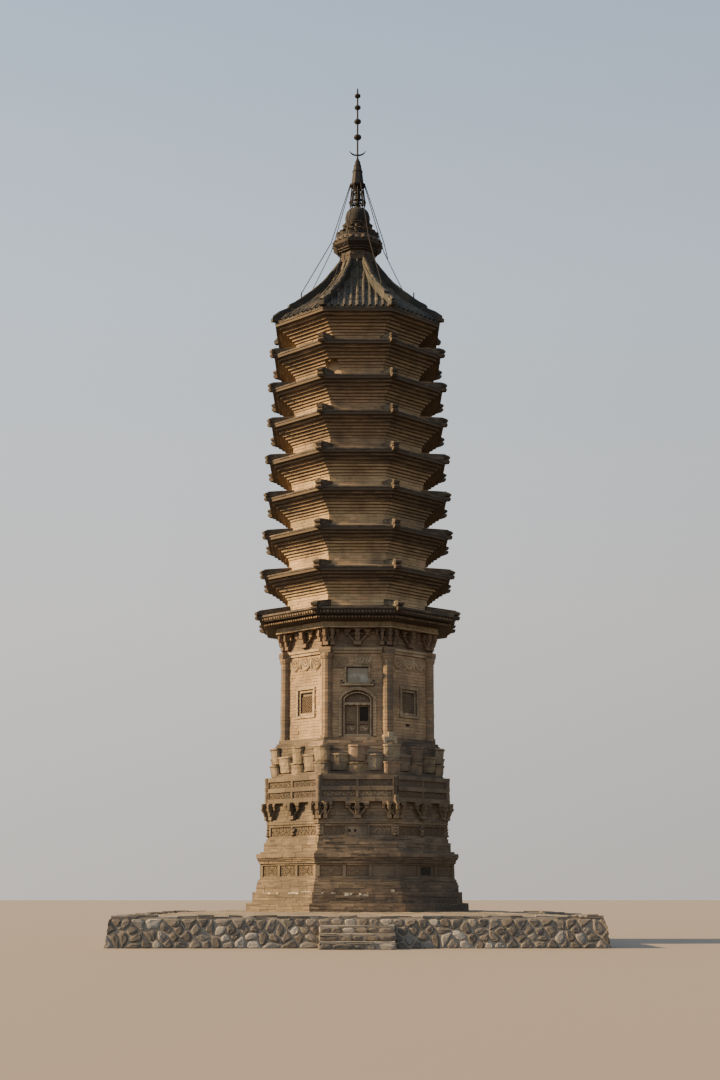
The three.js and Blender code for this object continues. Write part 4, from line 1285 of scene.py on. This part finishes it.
set_copies("tablet_clouds", "carved_brick", carved, ball, clouds, 0.002)

# Garlands and mouldings
# Three hanging garlands with tassels head the slanting facets, and a run of scrolls the square-on ones.
# Over them run two plain mouldings, between square blocks that stand on the columns.
GARLAND_TOP = 6.90


def swag(width, drop, thick):
    """A garland that hangs between two points, a smaller one inside it, a tassel and a flower."""
    arc = []
    for i in range(11):
        z = -drop * (1 - (2 * i / 10 - 1) ** 2)
        arc.append(((i / 10 - 0.5) * width, 0, z, thick * (1 + 0.5 * math.sin(math.pi * i / 10))))
    inner = [(x * 0.66, y, z * 0.62, r * 0.7) for x, y, z, r in arc]
    tassel = [(width / 2, 0, z, thick * r) for z, r in ((0.01, 1), (-drop * 0.5, 1.5), (-drop * 1.05, 0.7))]
    return [arc, inner, tassel] + rosette(0, -drop * 0.2, drop * 0.22, 6, thick * 0.6)


swag_width = (2 * storey_face * MITRE - 2 * COLUMN_RADIUS - 0.06) / 3
garland = carving(swag(swag_width * 0.98, 0.245, 0.031))
SCROLL_RUNS = (  # pattern, x and height of each
    (carving(vine(0.42, 0.29, waves=2, thick=0.030)), -0.48, GARLAND_TOP - 0.165),
    (carving(vine(0.38, 0.20, waves=2, thick=0.027)), 0.14, GARLAND_TOP - 0.125),
)
spots = [
    on_facet(facet, (i - 1) * swag_width, storey_face + 0.006, GARLAND_TOP - 0.02)
    for facet in SLANTING for i in range(3)
]
swags = set_copies("garlands", None, carved, garland, spots, 0.001)
parts = []
for run, x, z in SCROLL_RUNS:
    spots = [on_facet(facet, x, storey_face + 0.008, z) for facet in SQUARE_ON]
    parts.append(set_copies("scroll_runs", None, carved, run, spots, 0.001))
finish_piece(swags, "carved_brick")
finish_piece(join(parts, "scroll_runs"), "carved_brick")
rows = []
for low, high, reach in ((6.24, 6.31, 1.985), (6.31, 6.38, 2.012)):
    course(rows, reach * CORNER, FOOT + low, FOOT + high, long=0.4)
set_blocks("architrave_bricks", "carved_brick", carved, rows)
rows = [
    ((corner + 0.5) * EIGHTH, 0, STOREY_RADIUS + wide / 2, FOOT + low, wide, wide, high - low)
    for corner in range(8) for low, high, wide in ((6.243, 6.305, 0.27), (6.31, 6.378, 0.30))
]
set_blocks("column_blocks", "column_brick", column_brick, rows, worn_block, 0.003)

# First eave
# A beam of brick with a row of small teeth carries two rows of square rafter ends, cut in brick, and
# over them a thin edge of tiles. The roof above is low, and steps back to the second tier's wall.
tile = brick_finish("eave_tile", [
    (0.0, (0.030, 0.025, 0.020)), (0.5, (0.055, 0.044, 0.033)), (0.85, (0.085, 0.066, 0.047)),
    (1.0, (0.15, 0.115, 0.078)),
], dirt=0.3)
# Painted shade under the first eave: a near-black brick for its cove, the ground round the rafters, its
# roof and its slab.
eave_shade = brick_finish("sooty_brick", [(0.0, (0.032, 0.023, 0.015)), (1.0, (0.058, 0.041, 0.026))], dirt=0.3)
dress(eave_shade, "eave_1_rafters", "eave_1_roof")
TEETH, RAFTERS = 26, 24  # on each facet
BEAM_TOP = FOOT + 7.0


def across_facet(count, face):
    """So many places across a facet, equally far apart."""
    return [((i + 0.5) / count - 0.5) * 2 * face * MITRE for i in range(count)]


beam_low = levels("eave_1_rafters")[0][0]
face = 2.218 * CORNER
rows = []
course(rows, 2.225 * CORNER, beam_low, beam_low + 0.045, long=0.4)
wall_courses(rows, 2.200 * CORNER, beam_low + 0.045, BEAM_TOP)
rows += [
    (facet * EIGHTH, x, face, beam_low + 0.055, 0.034, 0.05, 0.034)
    for facet in range(8) for x in across_facet(TEETH, face)
]
set_blocks("eave_1_beam", "carved_brick", carved, rows)
# The rafter ends take the dark brick: painted shade under the eave edge.
rows = []
for facet in range(8):
    for reach, low in ((2.56, FOOT + 7.042), (2.68, FOOT + 7.162)):
        face = reach * CORNER
        for x in across_facet(RAFTERS, face):
            out = face + bricks_random.normal(0, 0.005)
            rows.append((facet * EIGHTH, x, out, low, 0.04, 0.12, 0.04 + bricks_random.normal(0, 0.002)))
set_blocks("eave_1_rafter_ends", "eave_tile", smoked_brick, rows)
rows = []
course(rows, 2.655 * CORNER, FOOT + 7.205, FOOT + 7.24)
set_blocks("eave_1_slab", "eave_tile", eave_shade, rows)
rows = []
course(rows, 2.690 * CORNER, FOOT + 7.242, FOOT + 7.300, long=0.22, deep=0.35)
next_wall = levels("tier_2")[0][1]
for i in range(5):
    back = (i + 1) / 5.6 * (2.673 - next_wall) * CORNER
    low = FOOT + 7.269 + i * 0.032
    course(rows, 2.673 * CORNER - back, low + 0.008, low + 0.042, deep=0.2)
set_blocks("eave_1_tiles", "eave_tile", tile, rows)

# Upper tiers
# Each is a few plain courses and seven corbelled ones, which carry a thin slab edge of brick and
# tile. The little roof above it steps back to the next wall in three courses.
CORBELS, PALE_CORBELS, ROOF_STEPS = 7, 4, 3
TILE_EDGE = 0.05
FALLEN_LOW, FALLEN_HIGH = FOOT + 13.491, FOOT + 13.911
FALLEN = {7: (0.28, 0.13, -1), 0: (0.34, 0.19, 1)}  # widths below and above on a facet, and its end
eave_tips = {1: (FOOT + 7.379, 2.793)}  # height and reach of each tier's corner


def fallen(facet, z, face):
    """The end of a facet where the corner of the eighth tier has fallen out."""
    if facet not in FALLEN or not FALLEN_LOW < z < FALLEN_HIGH:
        return ()
    low, high, end = FALLEN[facet]
    wide = low + (high - low) * (z - FALLEN_LOW) / (FALLEN_HIGH - FALLEN_LOW)
    wide += bricks_random.uniform(-0.03, 0.03)
    half = face * MITRE
    return [(half - wide, half)] if end < 0 else [(-half, wide - half)]


for number in range(2, 10):
    name = "tier_%d" % number
    tier = levels(name)
    wall_face = tier[0][1] * CORNER
    soffit, slab_corner = tier[CORBELS + 1]
    eave_tips[number] = max(tier, key=lambda level: level[1])
    broken = (lambda facet, z: fallen(facet, z, wall_face)) if number == 8 else (lambda facet, z: ())
    rows, upper = [], []
    wall_courses(rows, wall_face, tier[0][0], tier[1][0], broken)
    for i, ((z, reach), (above, _)) in enumerate(zip(tier[1:CORBELS + 1], tier[2:CORBELS + 2])):
        into = rows if i < PALE_CORBELS else upper
        course(into, reach * CORNER, z + 0.012, above - 0.002, lambda facet: broken(facet, z))
    slab_face = slab_corner * CORNER
    if number < 9:
        next_wall = levels("tier_%d" % (number + 1))[0][1] * CORNER
        for i in range(ROOF_STEPS):
            back = (i + 1) / (ROOF_STEPS + 0.5) * (slab_face - next_wall)
            z = soffit + 0.11 + i * 0.055
            course(rows, slab_face - back, z, z + 0.055, deep=0.2)
    set_blocks(name + "_wall", "brick", brick if number < 6 else upper_brick, rows)
    # The upper corbels take the dark brick: painted shade cast by the courses and slab over them.
    set_blocks(name + "_corbels", "brick", smoked_brick, upper)
    rows = []
    course(rows, slab_face - 0.012, soffit + 0.004, soffit + 0.064)
    course(rows, slab_face + 0.008, soffit + 0.066, soffit + 0.066 + TILE_EDGE, long=0.22, deep=0.3)
    set_blocks(name + "_eave", "eave_tile", tile, rows)

# Corner ridges
# On every corner of an eave a little ridge runs down from the wall: two courses of plastered brick
# under a round cover tile, ending in a blunt dark nose. Below it sticks out the head of a corner beam.
cover_tile = round_block(math.pi / 2, lambda normal: normal.y < -0.9, rim=0.07, rise=-0.05)
nose_block = pattern_of(shaped_block(
    (0, 0.5, -0.5), (1, 1, 1), axis=1, shrink=(1.08, 1, 0.55), lift=0.06, wear=0.09, segments=2
))
head_block = pattern_of(shaped_block(
    (0, 0.5, 0), (1, 1, 1), axis=1, shrink=(0.8, 1, 0.5), lift=0.12, wear=0.16, segments=2
))
centred_block = (worn_block[0] - np.array([0, DEEP / 2, 0]), worn_block[1])
ridge_plaster = brick_finish("ridge_plaster", [
    (0.0, (0.33, 0.25, 0.155)), (0.5, (0.45, 0.36, 0.22)), (1.0, (0.58, 0.48, 0.30)),
])
# The ridges on every corner but the one right of the front take a dark copy of the plaster: painted shade.
dark_plaster = brick_finish("dark_plaster", [
    (0.0, (0.085, 0.062, 0.040)), (0.5, (0.13, 0.097, 0.062)), (1.0, (0.18, 0.138, 0.088)),
])
NO_NOSE = ((3, 0), (6, 7), (8, 7))  # tier and corner of the noses that have gone
pale_blocks, shaded_blocks, covers, noses, heads = [], [], [], [], []
for number in range(1, 9):
    tip_z, tip_reach = eave_tips[number]
    wall_corner = levels("tier_%d" % (number + 1))[0][1]
    rise, count = (0.23, 4) if number == 1 else (0.165, 3)
    outer, outer_z = tip_reach - 0.12, tip_z + 0.05
    run = outer - wall_corner
    inner_z = outer_z + (rise - 0.05) * run / (run + 0.12)
    slope = math.atan2(inner_z - outer_z, run)
    long = run / count
    for corner in range(8):
        for i in range(count):
            z = outer_z + (inner_z - outer_z) * (i + 0.5) / count
            for drop, wide, high in ((0.105, 0.168, 0.06), (0.048, 0.160, 0.05)):
                size = (wide / LONG, long * 0.98 / DEEP, high / HIGH)
                place = on_facet(corner + 0.5, 0, outer - (i + 0.5) * long, z - drop, size, 0, slope)
                (shaded_blocks if corner else pale_blocks).append(place)
        size = (0.155, run / math.cos(slope) + 0.02, 0.066)
        place = (0, (outer + wall_corner) / 2, (outer_z + inner_z) / 2 - 0.022)
        covers.append(on_facet(corner + 0.5, *place, size, 0, slope))
        if (number, corner) not in NO_NOSE:
            size = (0.172 * bricks_random.uniform(0.95, 1.05), 0.2, 0.085)
            noses.append(on_facet(corner + 0.5, 0, tip_reach + 0.004, tip_z + 0.012, size, 0, 0.22))
        heads.append(on_facet(corner + 0.5, 0, tip_reach - 0.008, tip_z - 0.148, (0.158, 0.24, 0.088)))
set_copies("ridge_courses", "brick", ridge_plaster, centred_block, pale_blocks, 0.002)
set_copies("dark_ridge_courses", "brick", dark_plaster, centred_block, shaded_blocks, 0.002)
set_copies("ridge_covers", "eave_tile", tile, cover_tile, covers, 0.002)
set_copies("ridge_noses", "eave_tile", tile, nose_block, noses, 0.003)
set_copies("beam_heads", "eave_tile", tile, head_block, heads, 0.003)

# Top roof
# Glazed tiles, now almost black with lichen: rows of round cover tiles with flat pans between them, on
# a roof that sweeps up in a hollow curve. Stepped ridges of brick and tile run up its eight corners.
roof_tile, paint = new_finish("roof_tile")
colour = paint.tones([
    (0.0, (0.020, 0.019, 0.013)), (0.45, (0.042, 0.036, 0.023)), (0.8, (0.072, 0.055, 0.034)),
    (1.0, (0.14, 0.098, 0.058)),
])
lichen = paint.grain(14, 5)
colour = paint.blend(0.7, colour, paint.blend(lichen, (0.45, 0.5, 0.42), (1.3, 1.22, 1.0)), "MULTIPLY")
colour = paint.blend(paint.grain(2.2, 4).step(0.5, 0.7) * 0.55, colour, (0.095, 0.070, 0.040))
paint.surface(colour, 0.72, lichen, 0.006)
dress(roof_tile, "top_roof")
SWEEP = [
    (2.329, 15.14), (2.2, 15.27), (1.9, 15.48), (1.56, 15.72), (1.22, 16.01), (0.88, 16.37), (0.6, 16.76),
    (0.48, 17.10),
]
RIDGE_LINE = [
    (2.42, 15.235), (2.275, 15.38), (1.98, 15.53), (1.643, 15.79), (1.285, 16.09), (0.929, 16.43),
    (0.535, 16.95), (0.45, 17.07),
]


def measured(line, scale):
    """The points of a line up the roof, as distances along it, distances from the axis and heights."""
    out = np.array([reach * scale for reach, _ in line])
    z = np.array([z + FOOT for _, z in line])
    return np.concatenate([[0], np.cumsum(np.hypot(np.diff(out), np.diff(z)))]), out, z


def between(line, low, high):
    """The slope between two distances along a line, and the places there: distance out and height."""
    run, out, z = line
    (low_out, high_out), (low_z, high_z) = (np.interp((low, high), run, values) for values in (out, z))
    return math.atan2(high_z - low_z, low_out - high_out), (low_out, high_out), (low_z, high_z)


ROW_PITCH, TILE_LONG = 0.165, 0.24
sweep = measured(SWEEP, CORNER)
length = sweep[0][-1]
COVER = (0.085, TILE_LONG * 1.04, 0.075)
PAN = (ROW_PITCH * 0.85 / LONG, TILE_LONG * 1.1 / DEEP, 0.018 / HIGH)
covers, pans = [], []
for facet in range(8):
    for i in range(-5, 6):
        x, pan_x = i * ROW_PITCH, (i + 0.5) * ROW_PITCH
        along = 0.0
        while along + TILE_LONG < length:
            middle = along + TILE_LONG / 2
            out, z = (np.interp(middle, sweep[0], values) for values in sweep[1:])
            slope = between(sweep, max(middle - 0.08, 0), min(middle + 0.08, length))[0]
            if abs(x) < out * MITRE - 0.05:
                covers.append(on_facet(facet, x, out, z + 0.022, COVER, 0, slope))
            if abs(pan_x) < out * MITRE - 0.03:
                pans.append(on_facet(facet, pan_x, out, z + 0.004, PAN, 0, slope - 0.04))
            along += TILE_LONG
set_copies("roof_covers", "roof_tile", roof_tile, cover_tile, covers, 0.003)
set_copies("roof_pans", "roof_tile", roof_tile, centred_block, pans, 0.002)

BLOCK = 0.2
ridge = measured(RIDGE_LINE, 1)
blocks, caps, noses = [], [], []
for corner in range(8):
    along = 0.05
    while along < ridge[0][-1] - 0.1:
        slope, outs, heights = between(ridge, along, along + BLOCK)
        out, z = sum(outs) / 2, sum(heights) / 2
        steep = max(math.cos(slope), 0.5)
        courses = [(-0.075, 0.125, 0.055), (-0.02, 0.14, 0.05), (0.03, 0.12, 0.045)]
        top = 0.045
        if along < 0.55:
            courses.pop()
            top = 0.0
        for lift, wide, high in courses:
            size = (wide / LONG, BLOCK * 0.97 / DEEP, high / HIGH)
            blocks.append(on_facet(corner + 0.5, 0, out, z + lift / steep, size, 0, slope))
        size = (0.11, BLOCK * 1.03, 0.085)
        caps.append(on_facet(corner + 0.5, 0, out, z + (top + 0.025) / steep, size, 0, slope))
        along += BLOCK
    noses.append(on_facet(corner + 0.5, 0, 2.36, FOOT + 15.235, (0.16, 0.15, 0.09)))
    noses.append(on_facet(corner + 0.5, 0, 1.94, FOOT + 15.60, (0.15, 0.12, 0.10)))
# Only the ridge right of the front keeps the pale plaster; the others take its dark copy, painted shade.
per_corner = len(blocks) // 8
parts = [
    set_copies("pale_ridge_courses", None, ridge_plaster, centred_block, blocks[:per_corner], 0.003),
    set_copies("dark_hip_courses", None, dark_plaster, centred_block, blocks[per_corner:], 0.003),
]
finish_piece(join(parts, "roof_ridge_courses"), "roof_tile")
set_copies("roof_ridge_caps", "roof_tile", roof_tile, cover_tile, caps, 0.003)
set_copies("roof_ridge_noses", "roof_tile", roof_tile, nose_block, noses, 0.004)

# Spire base
# An octagonal stem of brick, a rim of petals round a wide moulding, four rings of knobbly petals and a
# round dome, all weathered dark.
spire_brick = brick_finish("spire_brick", [
    (0.0, (0.024, 0.018, 0.013)), (0.5, (0.045, 0.034, 0.024)), (1.0, (0.080, 0.060, 0.040)),
])
dress(spire_brick, "spire_pedestal")
rows = []
for low, high, radius in ((17.10, 17.30, 0.500), (17.30, 17.40, 0.465), (17.74, 17.83, 0.604)):
    wall_courses(rows, radius * CORNER, FOOT + low, FOOT + high, long=0.2)
for low, high, radius in ((17.40, 17.45, 0.53), (17.45, 17.50, 0.58)):
    course(rows, radius * CORNER, FOOT + low, FOOT + high, long=0.2)
set_blocks("spire_stem", "brick", spire_brick, rows)
spots = [
    on_facet(facet, x * 0.95, 0.57, FOOT + 17.76, (0.155, 0.14, -0.13), 0, -0.3)
    for facet in range(8) for x in (-0.17, 0, 0.17)
]
rim_petals = set_copies("spire_rim_petals", None, spire_brick, petal_shape, spots, 0.004)
bpy.ops.object.mode_set(mode="EDIT")
bpy.ops.mesh.select_all(action="SELECT")
bpy.ops.mesh.normals_make_consistent(inside=False)
bpy.ops.object.mode_set(mode="OBJECT")
finish_piece(rim_petals, "brick")
PETAL_RINGS = (  # how many petals, how far out, height and size
    (14, 0.475, 17.845, (0.2, 0.16, 0.15)), (13, 0.40, 17.93, (0.18, 0.15, 0.12)),
    (11, 0.31, 18.05, (0.17, 0.14, 0.13)), (11, 0.33, 18.15, (0.19, 0.12, 0.1)),
)
spots = [
    on_facet(8 * (i + 0.5 * (ring % 2)) / count, 0, out, FOOT + z, size, 0, 0.2)
    for ring, (count, out, z, size) in enumerate(PETAL_RINGS) for i in range(count)
]
set_copies("spire_petals", "lotus_brick", spire_brick, petal_shape, spots, 0.004)

dome_brick, paint = new_finish("dome_brick")
grime = paint.grain(6, 5)
colour = paint.blend(grime, (0.009, 0.008, 0.007), (0.021, 0.019, 0.016))
colour = paint.blend(paint.grain(2.5, 3, (1, 1, 0.3)).step(0.5, 0.7) * 0.6, colour, (0.024, 0.021, 0.018))
paint.surface(colour, 0.9, grime * 0.6 + paint.grain(50, 4) * 0.4, 0.012)
dress(dome_brick, "spire_lotus", "spire_dome")
DOME = (  # radius and height of each ring
    (0.31, 18.24), (0.33, 18.33), (0.336, 18.43), (0.331, 18.51), (0.302, 18.61), (0.237, 18.697),
    (0.125, 18.752),
)
SEGMENTS = 32
points, faces = [], [tuple(range(SEGMENTS - 1, -1, -1))]
for reach, z in DOME:
    for i in range(SEGMENTS):
        angle = math.tau * i / SEGMENTS
        r = reach + 0.004 + bricks_random.normal(0, 0.002)
        points.append((r * math.cos(angle), r * math.sin(angle), FOOT + z))
for ring in range(len(DOME) - 1):
    for i in range(SEGMENTS):
        a, b = ring * SEGMENTS + i, ring * SEGMENTS + (i + 1) % SEGMENTS
        faces.append((a, b, b + SEGMENTS, a + SEGMENTS))
faces.append(tuple(range(len(points) - SEGMENTS, len(points))))
finish_piece(cast("spire_dome_skin", points, faces, dome_brick), "lotus_brick")

# Ironwork
# A wrought cage of straps and hoops, a cone, four flattened beads and a crescent on one iron rod. Stays
# run down from a collar, past the rim, to pins on the ridges; the one on the right has parted.
iron, paint = new_finish("iron")
rust = paint.grain(22, 5)
colour = paint.blend(rust.step(0.4, 0.75), (0.013, 0.012, 0.012), (0.036, 0.026, 0.020))
paint.surface(colour, 0.75, rust, 0.003, metallic=0.35)
dress(iron, "spire_cage", "spire_mast", "spire_stays")
STRAP = (  # distance from the axis, height and thickness, from its foot up
    (0.20, 18.80, 0.008), (0.222, 18.92, 0.008), (0.19, 19.06, 0.007), (0.155, 19.24, 0.007),
    (0.18, 19.39, 0.008),
)
HOOPS = (
    (0.205, 18.82, 0.012), (0.226, 18.93, 0.013), (0.195, 19.06, 0.010), (0.162, 19.235, 0.012),
    (0.196, 19.40, 0.014),
)
CONE_HOOPS = ((0.186, 19.46, 0.008), (0.14, 19.83, 0.008), (0.10, 20.0, 0.008), (0.07, 20.12, 0.008))
HORN = ((0.04, 20.31, 0.012), (0.13, 20.335, 0.012), (0.226, 20.45, 0.010))


def hoop(radius, z, thick):
    """A round hoop on the axis, of 24 straight lengths."""
    angles = [math.tau * i / 24 for i in range(25)]
    return [(radius * math.cos(angle), radius * math.sin(angle), FOOT + z, thick) for angle in angles]


strokes = []
for i in range(16):
    x, y = math.cos(math.tau * i / 16), math.sin(math.tau * i / 16)
    strokes.append([(out * x, out * y, FOOT + z, thick) for out, z, thick in STRAP])
strokes += [hoop(*ring) for ring in HOOPS]
strokes += [[(side * out, 0, FOOT + z, thick) for out, z, thick in HORN] for side in (-1, 1)]
strokes.append([(0, 0, FOOT + 20.2, 0.025), (0, 0, FOOT + 22.28, 0.024)])
strokes += [hoop(*ring) for ring in CONE_HOOPS]
ironwork = tubes("spire_ironwork", strokes)
ironwork.data.materials.append(iron)
finish_piece(ironwork, "iron")
